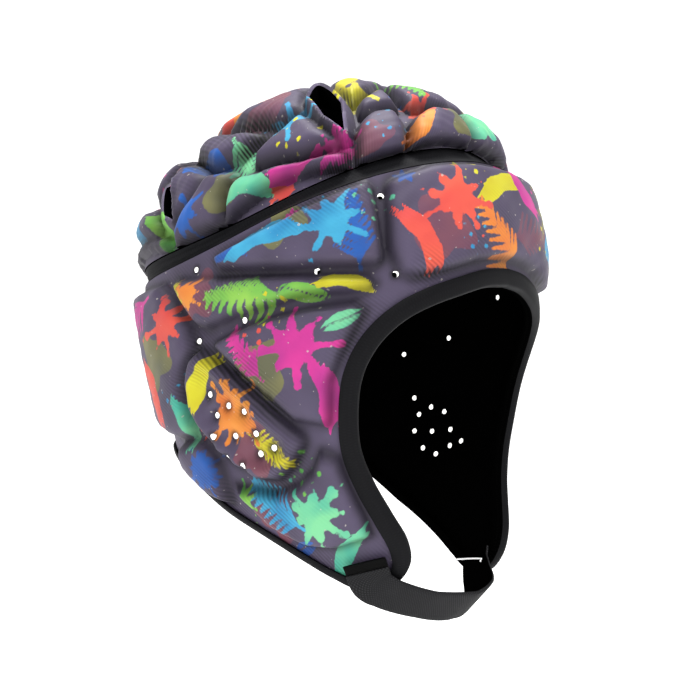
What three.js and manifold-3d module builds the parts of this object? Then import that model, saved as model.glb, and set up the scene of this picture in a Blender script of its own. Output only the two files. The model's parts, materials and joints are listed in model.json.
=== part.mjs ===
// A padded soft-shell headguard: a moulded body of joined pads that covers forehead, temples, ears,
// jaws and nape, a quilted crown above it, a recessed black band that joins the two, a binding tape
// round the whole lower edge, and a chin strap from the right jaw to the inside of the left one.
//
// Millimetres. The face looks to -Y, the wearer's right is -X and +Z is up. The tables measure
// height from the ear line, and the finished group is moved so that the origin is the point where
// the top of the head meets the inside of the crown.
//
// A place on the body is given by its turn (degrees from the front towards the wearer's right) and
// its height. A place on the crown is given by its turn and its reach, 0 at the apex and 1 at the rim.

import * as THREE from 'three';
import { mergeVertices } from 'three/addons/utils/BufferGeometryUtils.js';
import Module from 'manifold-3d';

const wasm = await Module();
wasm.setup();

// Head form, inside of the shell: one row per level, half sizes of the section there
const HEAD_ROWS = [
  { height: -150, side: 31, front: 69, back: 66 },
  { height: -125, side: 40, front: 71, back: 69 },
  { height: -90, side: 56.5, front: 77, back: 75 },
  { height: -60, side: 69.5, front: 73, back: 79.5 },
  { height: -30, side: 77, front: 78, back: 85 },
  { height: 0, side: 79, front: 86, back: 96.5 },
  { height: 30, side: 79, front: 86, back: 106 },
  { height: 60, side: 75.5, front: 83, back: 100 },
  { height: 90, side: 66, front: 75.5, back: 89 },
  { height: 115, side: 50, front: 60, back: 70 },
];
const SECTION_POWER = 2.3;

// Seam between body and band: its height at the front, the sides and the back
const SEAM = { front: 81, side: 48, back: 30 };

// Crown: the apex on the inside, how far its rim stands above and inside the seam, and its fullness
const APEX = new THREE.Vector3(0, 8, 121);
const RIM_RISE = 9;
const RIM_INSET = { front: 14, back: -1 };
const DOME_POWER = { front: 1.76, back: 1.82 };
const CROWN_SPAN = 105;

// Thicknesses: the pressed flat between the pads, the top of a body pad, the top of a crown cell
const FLAT = 3.2;
const PAD_LIFT = 7.5;
const CREASE = 3.5;
const CELL_LIFT = 9;

// Binding tape and the gap that separate pieces keep
const TAPE = 1.3;
const GAP = 0.4;
const TAPE_OUTSIDE = 0.8;
const TAPE_INSIDE = 1.35;
const TAPE_CLEAR = 1.4;

// Lower edge of the body on the wearer's right, from the middle of the brow down the face opening,
// round the tip of the jaw and back along the lower rim to the middle of the nape. The tape column
// is the width of the binding that shows there.
const EDGE_ROWS = [
  { turn: 0, height: 27, tape: 8 },
  { turn: 10, height: 25.5, tape: 8 },
  { turn: 20, height: 21, tape: 8 },
  { turn: 29, height: 16, tape: 8 },
  { turn: 36, height: 10.5, tape: 8 },
  { turn: 42, height: 3, tape: 8 },
  { turn: 46.5, height: -6, tape: 8 },
  { turn: 49.5, height: -17, tape: 8 },
  { turn: 50.5, height: -32, tape: 8 },
  { turn: 49.5, height: -47, tape: 8 },
  { turn: 45, height: -61.5, tape: 8 },
  { turn: 38.5, height: -75.5, tape: 8 },
  { turn: 33, height: -87, tape: 8 },
  { turn: 31.5, height: -96, tape: 7 },
  { turn: 35, height: -104, tape: 5 },
  { turn: 46, height: -106.5, tape: 3.5 },
  { turn: 58, height: -101.5, tape: 2.5 },
  { turn: 71, height: -94.5, tape: 2.5 },
  { turn: 83.5, height: -87.5, tape: 2.5 },
  { turn: 95, height: -81, tape: 2.5 },
  { turn: 105.5, height: -74.5, tape: 2.5 },
  { turn: 114.5, height: -67, tape: 2.5 },
  { turn: 125, height: -57.5, tape: 2.5 },
  { turn: 136, height: -50, tape: 2.5 },
  { turn: 157, height: -44, tape: 2.5 },
  { turn: 180, height: -41.5, tape: 2.5 },
];
const NECK_FRONT = 6;
const TIP_FRONT = 13;
const TIP_BACK = 15;
const NECK_BACK = 22;

// Pads of the body on the wearer's right: corners as [turn, height], the width of the rounded flank
const PADS = [
  { name: 'forehead', flank: 10, corners: [
    [0, 78.5], [14, 78], [28, 75], [39.5, 68], [41.5, 65], [41, 38], [38.5, 28], [34, 27], [26, 32],
    [16, 37.5], [7, 40], [0, 40.5]] },
  { name: 'temple', flank: 8, corners: [
    [99, 38], [73, 51], [59, 59.5], [47.5, 66.5], [45.5, 64.5], [43, 33.5], [45, 31.5], [70, 31], [96, 33]] },
  { name: 'finger', flank: 7, corners: [
    [118, 29.5], [83, 27.5], [47, 26], [45, 23.5], [47, 21], [64, 19], [80, 14], [101, 7], [106, 9.5],
    [112.5, 19]] },
  { name: 'cheek', flank: 8, corners: [
    [98.5, -0.5], [83, 7], [64, 12.5], [50, 15], [48, 12], [54.5, -6.5], [57.5, -17.5], [58, -35.5],
    [68, -33], [75.5, -24], [87.5, -12]] },
  { name: 'ear', flank: 8, dish: 2.5, corners: [
    [104.5, -2.5], [88.5, -16], [77.5, -28], [66, -40.5], [65.5, -43.5], [70, -53.5], [75.5, -58.5],
    [84, -58.5], [97, -51], [104, -42], [110.5, -29.5], [111.5, -16.5], [109, -7]] },
  { name: 'jaw', flank: 8, corners: [
    [60.5, -47], [54.5, -50], [48.5, -71], [44, -83], [56, -88], [67.5, -87.5], [83.5, -78.5], [97, -63],
    [86.5, -63.5], [76.5, -65], [68, -61], [63, -55]] },
  { name: 'back_side', flank: 9, corners: [
    [146, 27.5], [124, 28.5], [119.5, 21.5], [109.5, 10], [107, -2], [111.5, -8.5], [113.5, -17], [113, -30],
    [110.5, -39.5], [121, -41.5], [146, -34]] },
  { name: 'nape_side', flank: 6, corners: [
    [122, -44.5], [107, -43], [101.5, -53.5], [101.5, -70], [112.5, -65.5], [123, -55]] },
  { name: 'nape', flank: 9, corners: [[180, 27.5], [151, 27.5], [151, -33], [180, -33]] },
];

// Cells of the crown on the wearer's right: corners as [turn, reach]
const CELL_FLANK = 9;
const CELLS = [
  { name: 'front_low', corners: [[2, 0.99], [2, 0.7], [20, 0.72], [28, 0.8], [31, 0.99]] },
  { name: 'front_side', corners: [[33.5, 0.99], [31, 0.82], [33, 0.71], [41, 0.68], [48, 0.76], [49, 0.99]] },
  { name: 'long_low', corners: [
    [53, 0.99], [53, 0.9], [68, 0.86], [84, 0.82], [93, 0.8], [97, 0.84], [98, 0.99]] },
  { name: 'side_low', corners: [
    [100, 0.99], [100, 0.87], [98.5, 0.8], [99, 0.76], [110, 0.73], [115, 0.82], [120, 0.92], [120, 0.99]] },
  { name: 'back_low', corners: [
    [124, 0.99], [125, 0.95], [134, 0.925], [150, 0.92], [160, 0.93], [160, 0.99]] },
  { name: 'nape_low', corners: [[180, 0.74], [163, 0.76], [164, 0.99], [180, 0.99]] },
  { name: 'back_mid', corners: [[131, 0.9], [136, 0.8], [146, 0.77], [158, 0.78], [160, 0.89], [146, 0.9]] },
  { name: 'triangle', corners: [
    [88, 0.77], [89, 0.73], [80, 0.64], [71, 0.56], [61, 0.71], [55, 0.83], [68, 0.82]] },
  { name: 'leaf', corners: [[120, 0.88], [113, 0.8], [112, 0.73], [131, 0.62], [138, 0.65], [124, 0.8]] },
  { name: 'back_upper', corners: [[140, 0.68], [140, 0.58], [158, 0.55], [159, 0.73], [146, 0.73]] },
  { name: 'side_upper', corners: [[110, 0.7], [99, 0.68], [91, 0.6], [110, 0.53], [134, 0.5], [130, 0.59]] },
  { name: 'side_top', corners: [
    [86, 0.57], [73, 0.51], [82, 0.3], [105, 0.22], [124, 0.3], [133, 0.46], [110, 0.5]] },
  { name: 'front_upper', corners: [[46, 0.67], [30, 0.66], [28, 0.49], [46, 0.58]] },
  { name: 'front_top', corners: [[0, 0.66], [24, 0.66], [25, 0.47], [0, 0.42]] },
  { name: 'top', corners: [[0, 0.37], [26, 0.43], [48, 0.54], [58, 0.36], [72, 0.17], [0, 0]] },
  { name: 'back_top', corners: [
    [0, 0], [105, 0.18], [126, 0.28], [140, 0.46], [160, 0.5], [163, 0.7], [180, 0.7]] },
];

// Open vents of the crown on the wearer's right, each with a raised lip of fabric. A cut reaches from
// below the inside of the crown to above the lip.
const VENT_LIP = 5;
const VENT_CUT = { from: -4, to: 18 };
const LIP_LIFT = 11;
const VENTS = [
  { name: 'vent_top', corners: [[76, 0.24], [70, 0.46], [60, 0.66], [52.5, 0.8], [53, 0.6], [62, 0.38]] },
  { name: 'vent_back', corners: [[139, 0.7], [128, 0.84], [121.5, 0.88], [128, 0.72]] },
];

// Breathing holes of the body on the wearer's right, and those over the ear
const HOLE_RADIUS = 1.7;
const HOLE_SIDES = 5;
const HOLE_LENGTH = 36;
const HOLE_MIDDLE = 5;
const HOLES = [[43, 61], [39.5, 27.5], [108.5, 34], [106.5, 1.5], [61, 29], [86, 9.5]];
const EAR_HOLES = [
  [104, -22.5], [94.5, -27.5], [101, -31.5], [88, -30], [103.5, -40.5], [93.5, -40.5], [84, -39.5],
  [77.5, -45.5], [84.5, -48.5], [98.5, -49.5], [90.5, -52.5]];

// Chin strap: its middle line as places on the body, lifted off the form, and the lean of its width
const STRAP_WIDTH = 20;
const STRAP_THICK = 2;
const STRAP_ROWS = [
  { turn: 44, height: -97.5, lift: 7, lean: 0 },
  { turn: 41.8, height: -103, lift: 7, lean: 0 },
  { turn: 37, height: -107.5, lift: 5.8, lean: 12 },
  { turn: 22, height: -116, lift: 0, lean: 28 },
  { turn: 2, height: -119, lift: -4, lean: 38 },
  { turn: -13, height: -116.5, lift: -4.5, lean: 28 },
  { turn: -27, height: -112, lift: -5.2, lean: 10 },
  { turn: -34.5, height: -106.5, lift: -5.2, lean: 0 },
  { turn: -38, height: -101.5, lift: -5.2, lean: 0 },
];
const STRAP_STATIONS = 24;
const TAB_LENGTH = 4;
const TAB_THICK = 1.4;
const TAB_SINK = 0.5;

// Numbers of cells in the meshes, and the longest step along the outline of a pad
const BROW_COLUMNS = 8;
const NECK_COLUMNS = 10;
const NAPE_COLUMNS = 6;
const BODY_ROWS = 8;
const FLAP_ROWS = 8;
const CROWN_SECTORS = 28;
const CROWN_RINGS = 5;
const BAND_SECTORS = 36;
const PAD_STEP = 18;
const PAD_EASE = 3;
const EASE_BELOW = 0.6;
const PAD_RINGS = [0.92, 0.62];
const CELL_RINGS = [0.7];

// Depth of a pad's rim and of its underside in the sheet that carries it, as parts of the sheet
const PAD_RIM = 0.5;
const PAD_ROOT = 0.3;

const rad = THREE.MathUtils.degToRad;
const lerp = THREE.MathUtils.lerp;

// A smooth curve through one column of a table: cubic pieces, with the slope at each row taken from
// the rows on either side of it.
function columnCurve(rows, across, column) {
  const slope = rows.map((row, k) => {
    const before = rows[Math.max(k - 1, 0)];
    const after = rows[Math.min(k + 1, rows.length - 1)];
    return (after[column] - before[column]) / (after[across] - before[across]);
  });
  return (x) => {
    let k = 0;
    while (k < rows.length - 2 && x > rows[k + 1][across]) k += 1;
    const step = rows[k + 1][across] - rows[k][across];
    const t = (x - rows[k][across]) / step;
    return (1 + 2 * t) * (1 - t) ** 2 * rows[k][column] + t * (1 - t) ** 2 * step * slope[k]
      + t * t * (3 - 2 * t) * rows[k + 1][column] + t * t * (t - 1) * step * slope[k + 1];
  };
}

const sideAt = columnCurve(HEAD_ROWS, 'height', 'side');
const frontAt = columnCurve(HEAD_ROWS, 'height', 'front');
const backAt = columnCurve(HEAD_ROWS, 'height', 'back');

function formRadius(turn, height) {
  const s = Math.abs(Math.sin(rad(turn)));
  const c = Math.cos(rad(turn));
  const half = c > 0 ? frontAt(height) : backAt(height);
  const sum = (s / sideAt(height)) ** SECTION_POWER + (Math.abs(c) / half) ** SECTION_POWER;
  return sum ** (-1 / SECTION_POWER);
}

function formPoint(turn, height) {
  const r = formRadius(turn, height);
  return new THREE.Vector3(-r * Math.sin(rad(turn)), -r * Math.cos(rad(turn)), height);
}

function crossNormal(point, u, v, du, dv) {
  const alongU = point(u + du, v).sub(point(u - du, v));
  const alongV = point(u, v + dv).sub(point(u, v - dv));
  return alongV.cross(alongU).normalize();
}

function bodyNormal(turn, height) {
  return crossNormal(formPoint, turn, height, 0.1, 0.1);
}

function bodyPoint(turn, height, lift) {
  return formPoint(turn, height).addScaledVector(bodyNormal(turn, height), lift);
}

function seamHeight(turn) {
  const ends = (SEAM.front + SEAM.back) / 2;
  const once = (SEAM.front - SEAM.back) / 2 * Math.cos(rad(turn));
  const twice = (ends - SEAM.side) / 2 * Math.cos(2 * rad(turn));
  return (ends + SEAM.side) / 2 + once + twice;
}

function frontToBack(pair, turn) {
  return (pair.front + pair.back) / 2 + (pair.front - pair.back) / 2 * Math.cos(rad(turn));
}

function crownForm(turn, reach) {
  const seam = seamHeight(turn);
  const r = formRadius(turn, seam) - frontToBack(RIM_INSET, turn);
  const power = 2 / frontToBack(DOME_POWER, turn);
  const out = Math.sin(reach * Math.PI / 2) ** power;
  const up = Math.max(Math.cos(reach * Math.PI / 2), 0) ** power;
  const rim = new THREE.Vector3(-r * Math.sin(rad(turn)), -r * Math.cos(rad(turn)), seam + RIM_RISE);
  return new THREE.Vector3(lerp(APEX.x, rim.x, out), lerp(APEX.y, rim.y, out), lerp(rim.z, APEX.z, up));
}

function crownPoint(turn, reach, lift) {
  const near = THREE.MathUtils.clamp(reach, 0.03, 0.985);
  const normal = crossNormal((a, b) => crownForm(a, -b), turn, -near, 0.1, 0.01);
  if (reach === 0) normal.set(0, 0, 1);
  return crownForm(turn, reach).addScaledVector(normal, lift);
}

// Flat plans in millimetres, on which outlines are drawn and distances measured
const MEAN_ARC = 1.4;
const bodyPlan = ([turn, height]) => new THREE.Vector2(turn * MEAN_ARC, height);
const onBody = (p, lift) => bodyPoint(p.x / MEAN_ARC, p.y, lift);

function crownPlan([turn, reach]) {
  return new THREE.Vector2(Math.sin(rad(turn)), Math.cos(rad(turn))).multiplyScalar(reach * CROWN_SPAN);
}

function onCrown(p, lift) {
  return crownPoint(THREE.MathUtils.radToDeg(Math.atan2(p.x, p.y)), p.length() / CROWN_SPAN, lift);
}

// The outlines of a table row on the plan. A row that starts and ends on the middle line of the
// helmet carries on to the other half; any other row is made once for each side.
function outlinesOf(corners, plan, middles) {
  const right = corners.map(plan);
  const ends = [right[0], right[right.length - 1]];
  const middle = middles.find((x) => ends.every((p) => Math.abs(p.x - x) < 1e-6));
  if (middle === undefined) return [right, right.map((p) => new THREE.Vector2(-p.x, p.y)).reverse()];
  const left = right.slice(1, -1).reverse().map((p) => new THREE.Vector2(2 * middle - p.x, p.y));
  return [[...right, ...left]];
}

// Eases the sharp corners of an outline and divides its long sides
function easedOutline(corners, ease, longest) {
  const points = [];
  const count = corners.length;
  const sideFrom = (k, to) => corners[to].clone().sub(corners[k]);
  const sharp = corners.map((p, k) => {
    const [before, after] = [sideFrom((k + count - 1) % count, k), sideFrom(k, (k + 1) % count)];
    return ease > 0 && before.normalize().dot(after.normalize()) < EASE_BELOW;
  });
  const eased = (k, to) => {
    const side = sideFrom(k, to);
    return corners[k].clone().addScaledVector(side, sharp[k] ? Math.min(ease / side.length(), 0.3) : 0);
  };
  for (let k = 0; k < count; k += 1) {
    const [before, after] = [(k + count - 1) % count, (k + 1) % count];
    const [a, b] = [eased(k, after), eased(after, k)];
    if (sharp[k]) points.push(eased(k, before));
    points.push(a);
    const steps = Math.ceil(a.distanceTo(b) / longest);
    for (let i = 1; i < steps; i += 1) points.push(a.clone().lerp(b, i / steps));
  }
  return points;
}

function distanceToSide(p, a, b) {
  const along = b.clone().sub(a);
  const t = THREE.MathUtils.clamp(p.clone().sub(a).dot(along) / along.lengthSq(), 0, 1);
  return p.distanceTo(a.clone().addScaledVector(along, t));
}

// How deep a place inside an outline lies, with the corners eased
function depthInside(p, corners) {
  const sum = corners.reduce((total, a, k) => {
    const away = distanceToSide(p, a, corners[(k + 1) % corners.length]);
    return total + Math.max(away, 0.01) ** -4;
  }, 0);
  return sum ** -0.25;
}

// The rounded flank of a pad: a quarter circle from the flat up to the full height
function flankCurve(depth, flank) {
  const t = Math.min(depth / flank, 1);
  return Math.sqrt(1 - (1 - t) ** 2);
}

// A pad as a closed cushion: rings drawn in from its outline to its middle, the upper ones lifted by
// the flank, the lower ones sunk into the sheet that carries it.
function cushion(outline, place, rings, base, rise) {
  const count = outline.length;
  const middle = middleOf(outline);
  const drawn = rings.map((part) => outline.map((p) => middle.clone().lerp(p, part)));
  const upper = [...drawn.flat(), middle].map((p) => place(p, base + rise(depthInside(p, outline))));
  const lower = [...drawn.flat(), middle].map((p) => place(p, base * PAD_ROOT));
  const points = [...outline.map((p) => place(p, base * PAD_RIM)), ...upper, ...lower];
  const index = [];
  for (const [start, outward] of [[count, true], [count + upper.length, false]]) {
    const id = (i, j) => (j === 0 ? 0 : start + (j - 1) * count) + (i % count);
    const skin = quads(rings.length, count, id);
    const last = start + rings.length * count;
    for (let i = 0; i < count; i += 1) skin.push([id(i, rings.length), id(i + 1, rings.length), last]);
    index.push(...skin.flatMap(([a, b, c]) => (outward ? [a, b, c] : [c, b, a])));
  }
  return closedGeometry(points, index);
}

function middleOf(outline) {
  return outline.reduce((sum, p) => sum.add(p), new THREE.Vector2()).divideScalar(outline.length);
}

// The lower edge as a smooth curve on the body's plan, with the tape's width as its third measure
const edgeCurve = new THREE.CatmullRomCurve3(
  EDGE_ROWS.map((row) => new THREE.Vector3(row.turn * MEAN_ARC, row.height, row.tape)), false, 'centripetal');
const lastRow = EDGE_ROWS.length - 1;

function edgeRun(fromRow, toRow, count) {
  const fine = [];
  const FINE_STEPS = 160;
  for (let k = 0; k <= FINE_STEPS; k += 1) {
    fine.push(edgeCurve.getPoint(lerp(fromRow, toRow, k / FINE_STEPS) / lastRow));
  }
  const lengths = [0];
  for (let k = 1; k <= FINE_STEPS; k += 1) lengths.push(lengths[k - 1] + fine[k].distanceTo(fine[k - 1]));
  const run = [];
  for (let i = 0, k = 0; i <= count; i += 1) {
    const want = lengths[FINE_STEPS] * i / count;
    while (k < FINE_STEPS - 1 && lengths[k + 1] < want) k += 1;
    const p = fine[k].clone().lerp(fine[k + 1], (want - lengths[k]) / (lengths[k + 1] - lengths[k]));
    run.push({ turn: p.x / MEAN_ARC, height: p.y, tape: p.z });
  }
  return run;
}

// Turns a sheet of places and faces into a closed solid with an inner and an outer skin. The inner
// skin may have its own, larger faces.
function thicken({ places, faces, wide = faces }, inner, outer) {
  const count = places.length;
  const points = [...places.map(inner), ...places.map(outer)];
  const index = faces.flatMap((face) => face.map((k) => k + count));
  index.push(...wide.flatMap(([a, b, c]) => [c, b, a]));
  for (const [p, q] of freeEdges(faces)) index.push(q + count, p + count, p, q + count, p, q);
  return closedGeometry(points, index);
}

function freeEdges(faces) {
  const edges = faces.flatMap(([a, b, c]) => [[a, b], [b, c], [c, a]]);
  const known = new Set(edges.map(([p, q]) => `${p} ${q}`));
  return edges.filter(([p, q]) => !known.has(`${q} ${p}`));
}

// Faces of two cells by two, which keep every place along the free edge of the sheet
function wideQuads(rows, columns, id, free) {
  const faces = [];
  for (let j = 0; j < rows; j += 2) {
    for (let i = 0; i < columns; i += 2) {
      const corners = [id(i, j), id(i + 2, j), id(i + 2, j + 2), id(i, j + 2)];
      const halfway = [id(i + 1, j), id(i + 2, j + 1), id(i + 1, j + 2), id(i, j + 1)];
      const kept = halfway.map((m, k) => free.has(`${corners[k]} ${m}`) || free.has(`${m} ${corners[k]}`));
      const first = Math.max(kept.indexOf(true), 0);
      const ring = [0, 1, 2, 3].map((k) => (k + first) % 4)
        .flatMap((k) => (kept[k] ? [halfway[k], corners[(k + 1) % 4]] : [corners[(k + 1) % 4]]));
      for (let k = 1; k < ring.length - 1; k += 1) faces.push([ring[0], ring[k], ring[k + 1]]);
    }
  }
  return faces;
}

function closedGeometry(points, index) {
  const geometry = new THREE.BufferGeometry().setFromPoints(points);
  let volume = 0;
  for (let k = 0; k < index.length; k += 3) {
    const [a, b, c] = [points[index[k]], points[index[k + 1]], points[index[k + 2]]];
    volume += a.dot(b.clone().cross(c));
  }
  geometry.setIndex(volume < 0 ? index.slice().reverse() : index);
  return geometry;
}

function quads(rows, columns, id) {
  const faces = [];
  for (let j = 0; j < rows; j += 1) {
    for (let i = 0; i < columns; i += 1) {
      const [a, b, c, d] = [id(i, j), id(i + 1, j), id(i + 1, j + 1), id(i, j + 1)];
      faces.push([a, b, c], [a, c, d]);
    }
  }
  return faces;
}

// Carries a chain of sections round a path; a ring closes on itself, an open chain is capped
function sweep(sections, ring) {
  const size = sections[0].length;
  const points = sections.flat();
  const count = sections.length;
  const id = (i, j) => (j % count) * size + (i % size);
  const index = quads(ring ? count : count - 1, size, id).flat();
  if (!ring) {
    for (let k = 1; k < size - 1; k += 1) {
      index.push(0, k + 1, k);
      index.push(...[0, k, k + 1].map((corner) => corner + (count - 1) * size));
    }
  }
  return closedGeometry(points, index);
}

// The runs of the lower edge that the body's sheet and its binding share
const browRun = edgeRun(0, NECK_FRONT, BROW_COLUMNS);
const openingRun = edgeRun(NECK_FRONT, TIP_FRONT, FLAP_ROWS);
const tipRun = edgeRun(TIP_FRONT, TIP_BACK, NECK_COLUMNS);
const rimRun = edgeRun(TIP_BACK, NECK_BACK, FLAP_ROWS);
const napeRun = edgeRun(NECK_BACK, lastRow, NAPE_COLUMNS);
const edgeRuns = [browRun, openingRun, tipRun, rimRun, napeRun];
const edgeLine = edgeRuns.flatMap((run, k) => run.slice(k === 0 ? 0 : 1));

function bothSides(half) {
  return [...half, ...half.slice(1, -1).reverse().map((row) => ({ ...row, turn: -row.turn }))];
}

// The body's sheet: columns up from the lower edge to the seam all the way round, and below the neck
// line two flaps whose rows run from the face opening to the lower rim.
function bodySheet() {
  const [first, last] = [browRun[BROW_COLUMNS], napeRun[0]];
  const neck = [];
  for (let i = 1; i < NECK_COLUMNS; i += 1) {
    const t = i / NECK_COLUMNS;
    neck.push({ turn: lerp(first.turn, last.turn, t), height: lerp(first.height, last.height, t) });
  }
  const feet = bothSides([...browRun, ...neck, ...napeRun]);
  const places = [];
  for (let j = 0; j <= BODY_ROWS; j += 1) {
    for (const foot of feet) {
      places.push({ turn: foot.turn, height: lerp(foot.height, seamHeight(foot.turn), j / BODY_ROWS) });
    }
  }
  const round = (i, j) => j * feet.length + (i % feet.length);
  const blocks = [{ rows: BODY_ROWS, columns: feet.length, id: round }];
  for (const hand of [1, -1]) {
    const start = places.length;
    for (let j = 1; j <= FLAP_ROWS; j += 1) {
      for (let i = 0; i <= NECK_COLUMNS; i += 1) {
        const t = i / NECK_COLUMNS;
        const [front, back] = [openingRun[j], rimRun[FLAP_ROWS - j]];
        const between = { turn: lerp(front.turn, back.turn, t), height: lerp(front.height, back.height, t) };
        const place = j === FLAP_ROWS ? tipRun[i] : between;
        places.push({ turn: hand * place.turn, height: place.height });
      }
    }
    const along = (i) => (hand > 0 ? NECK_COLUMNS - i : i);
    const top = (i) => (hand > 0 ? BROW_COLUMNS + i : feet.length - BROW_COLUMNS - i);
    const id = (i, j) => (j === 0 ? top(along(i)) : start + (j - 1) * (NECK_COLUMNS + 1) + along(i));
    blocks.push({ rows: FLAP_ROWS, columns: NECK_COLUMNS, id });
  }
  return withFaces(places, blocks);
}

function withFaces(places, blocks) {
  const faces = blocks.flatMap(({ rows, columns, id }) => quads(rows, columns, id));
  const free = new Set(freeEdges(faces).map(([p, q]) => `${p} ${q}`));
  const wide = blocks.flatMap(({ rows, columns, id }) => wideQuads(rows, columns, id, free));
  return { places, faces, wide };
}

// The crown's sheet: rings of places round the apex
function crownSheet() {
  const places = [{ turn: 0, reach: 0 }];
  for (let j = 1; j <= CROWN_RINGS; j += 1) {
    for (let i = 0; i < CROWN_SECTORS; i += 1) {
      places.push({ turn: 360 * i / CROWN_SECTORS, reach: j / CROWN_RINGS });
    }
  }
  const id = (i, j) => 1 + j * CROWN_SECTORS + (i % CROWN_SECTORS);
  const cap = id(0, 0);
  const sheet = withFaces(places, [{ rows: CROWN_RINGS - 1, columns: CROWN_SECTORS, id }]);
  for (let i = 0; i < CROWN_SECTORS; i += 1) {
    const face = [0, cap + ((i + 1) % CROWN_SECTORS), cap + i];
    sheet.faces.push(face);
    sheet.wide.push(face);
  }
  return sheet;
}

// Joining and cutting of closed solids
function toManifold(geometry) {
  const plain = geometry.clone();
  plain.deleteAttribute('normal');
  plain.deleteAttribute('uv');
  const merged = mergeVertices(plain, 1e-4);
  return new wasm.Manifold(new wasm.Mesh({
    numProp: 3,
    vertProperties: new Float32Array(merged.attributes.position.array),
    triVerts: new Uint32Array(merged.index.array),
  }));
}

function fromManifold(solid) {
  const mesh = solid.getMesh();
  const geometry = new THREE.BufferGeometry();
  geometry.setAttribute('position', new THREE.BufferAttribute(new Float32Array(mesh.vertProperties), 3));
  geometry.setIndex(new THREE.BufferAttribute(new Uint32Array(mesh.triVerts), 1));
  return geometry;
}

function build(sheet, added, removed) {
  let solid = toManifold(sheet);
  for (const geometry of added) solid = solid.add(toManifold(geometry));
  for (const geometry of removed) solid = solid.subtract(toManifold(geometry));
  return fromManifold(solid);
}

function holeCutter(turn, height) {
  const pin = new THREE.CylinderGeometry(HOLE_RADIUS, HOLE_RADIUS, HOLE_LENGTH, HOLE_SIDES);
  const aim = new THREE.Quaternion().setFromUnitVectors(new THREE.Vector3(0, 1, 0), bodyNormal(turn, height));
  const at = bodyPoint(turn, height, HOLE_MIDDLE);
  return pin.applyQuaternion(aim).translate(at.x, at.y, at.z);
}

function grown(outline, by) {
  const middle = middleOf(outline);
  return outline.map((p) => p.clone().addScaledVector(p.clone().sub(middle).normalize(), by));
}

function ventCutter(outline) {
  const faces = outline.map((p, k) => [outline.length, k, (k + 1) % outline.length]);
  const places = [...outline, middleOf(outline)];
  return thicken({ places, faces }, (p) => onCrown(p, VENT_CUT.from), (p) => onCrown(p, VENT_CUT.to));
}

// The binding is a tape folded round the edge, with a leg on either face. The points of its section are
// given as their way in from the edge and their lift off the inside of the shell.
function bindingSection(line, k) {
  const row = line[k];
  const before = line[(k + line.length - 1) % line.length];
  const after = line[(k + 1) % line.length];
  const arc = rad(1) * formRadius(row.turn, row.height);
  const wrap = (d) => ((d + 540) % 360) - 180;
  const along = new THREE.Vector2(wrap(after.turn - before.turn) * arc, after.height - before.height);
  const inward = new THREE.Vector2(-along.y, along.x).normalize();
  const [top, under, edge] = [FLAT + TAPE_OUTSIDE, -TAPE_INSIDE, -GAP];
  const points = [
    [row.tape, top], [row.tape, top + TAPE], [edge - TAPE, top + TAPE / 2], [edge - TAPE, under - TAPE / 2],
    [row.tape, under - TAPE], [row.tape, under], [edge, under], [edge, top],
  ];
  return points.map(([way, lift]) => {
    const place = inward.clone().multiplyScalar(way);
    return bodyPoint(row.turn + place.x / arc, row.height + place.y, lift);
  });
}

function bindingGeometry() {
  const line = bothSides(edgeLine);
  return sweep(line.map((row, k) => bindingSection(line, k)), true);
}

// Moves a place on the body's plan clear of the binding
const edgePlan = edgeLine
  .map((row) => ({ at: bodyPlan([row.turn, row.height]), clear: row.tape + TAPE_CLEAR }));

function clearOfTape(p) {
  const hand = p.x < 0 ? -1 : 1;
  const right = new THREE.Vector2(Math.abs(p.x), p.y);
  for (let k = 0; k < edgePlan.length - 1; k += 1) {
    const [a, b] = [edgePlan[k], edgePlan[k + 1]];
    const side = b.at.clone().sub(a.at);
    const t = THREE.MathUtils.clamp(right.clone().sub(a.at).dot(side) / side.lengthSq(), 0, 1);
    const away = right.clone().sub(a.at.clone().addScaledVector(side, t));
    const arc = rad(1) * formRadius(right.x / MEAN_ARC, right.y);
    const distance = Math.hypot(away.x * arc / MEAN_ARC, away.y);
    if (distance < a.clear) right.addScaledVector(away, a.clear / distance - 1);
  }
  return new THREE.Vector2(hand * right.x, right.y);
}

// The band: a flat strip of stretch fabric from the body's top edge in and up to the crown's rim,
// drawn inwards along its middle.
const BAND_THICK = 2.2;
const BAND_SINK = 1.5;
const BAND_GAP = 0.45;
const BAND_INSIDE = 0.8;

function bandSection(turn) {
  const foot = (lift) => bodyPoint(turn, seamHeight(turn), lift).add(new THREE.Vector3(0, 0, BAND_GAP));
  const head = (lift) => crownPoint(turn, 1, lift).sub(new THREE.Vector3(0, 0, BAND_GAP));
  const out = bodyNormal(turn, seamHeight(turn));
  const middle = (lift) => foot(lift).lerp(head(lift), 0.5).addScaledVector(out, -BAND_SINK);
  const [inside, outside] = [BAND_INSIDE, BAND_INSIDE + BAND_THICK];
  return [foot(inside), middle(inside), head(inside), head(outside), middle(outside), foot(outside)];
}

function bandGeometry() {
  const sections = [];
  for (let k = 0; k < BAND_SECTORS; k += 1) sections.push(bandSection(360 * k / BAND_SECTORS));
  return sweep(sections, true);
}

// The strap: webbing carried along its middle line, its width turned by the lean
const strapPlaces = STRAP_ROWS.map((row) => bodyPoint(row.turn, row.height, row.lift));
const strapLine = new THREE.CatmullRomCurve3(strapPlaces);
const lastStrap = STRAP_ROWS.length - 1;

function strapFrame(t) {
  const k = Math.min(Math.floor(t * lastStrap), lastStrap - 1);
  const part = t * lastStrap - k;
  const [a, b] = [STRAP_ROWS[k], STRAP_ROWS[k + 1]];
  const out = bodyNormal(lerp(a.turn, b.turn, part), lerp(a.height, b.height, part));
  const ahead = strapLine.getTangent(t);
  const wide = out.clone().cross(ahead).normalize();
  wide.applyAxisAngle(ahead, rad(lerp(a.lean, b.lean, part)));
  return { at: strapLine.getPoint(t), ahead, wide, out: ahead.clone().cross(wide) };
}

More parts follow.
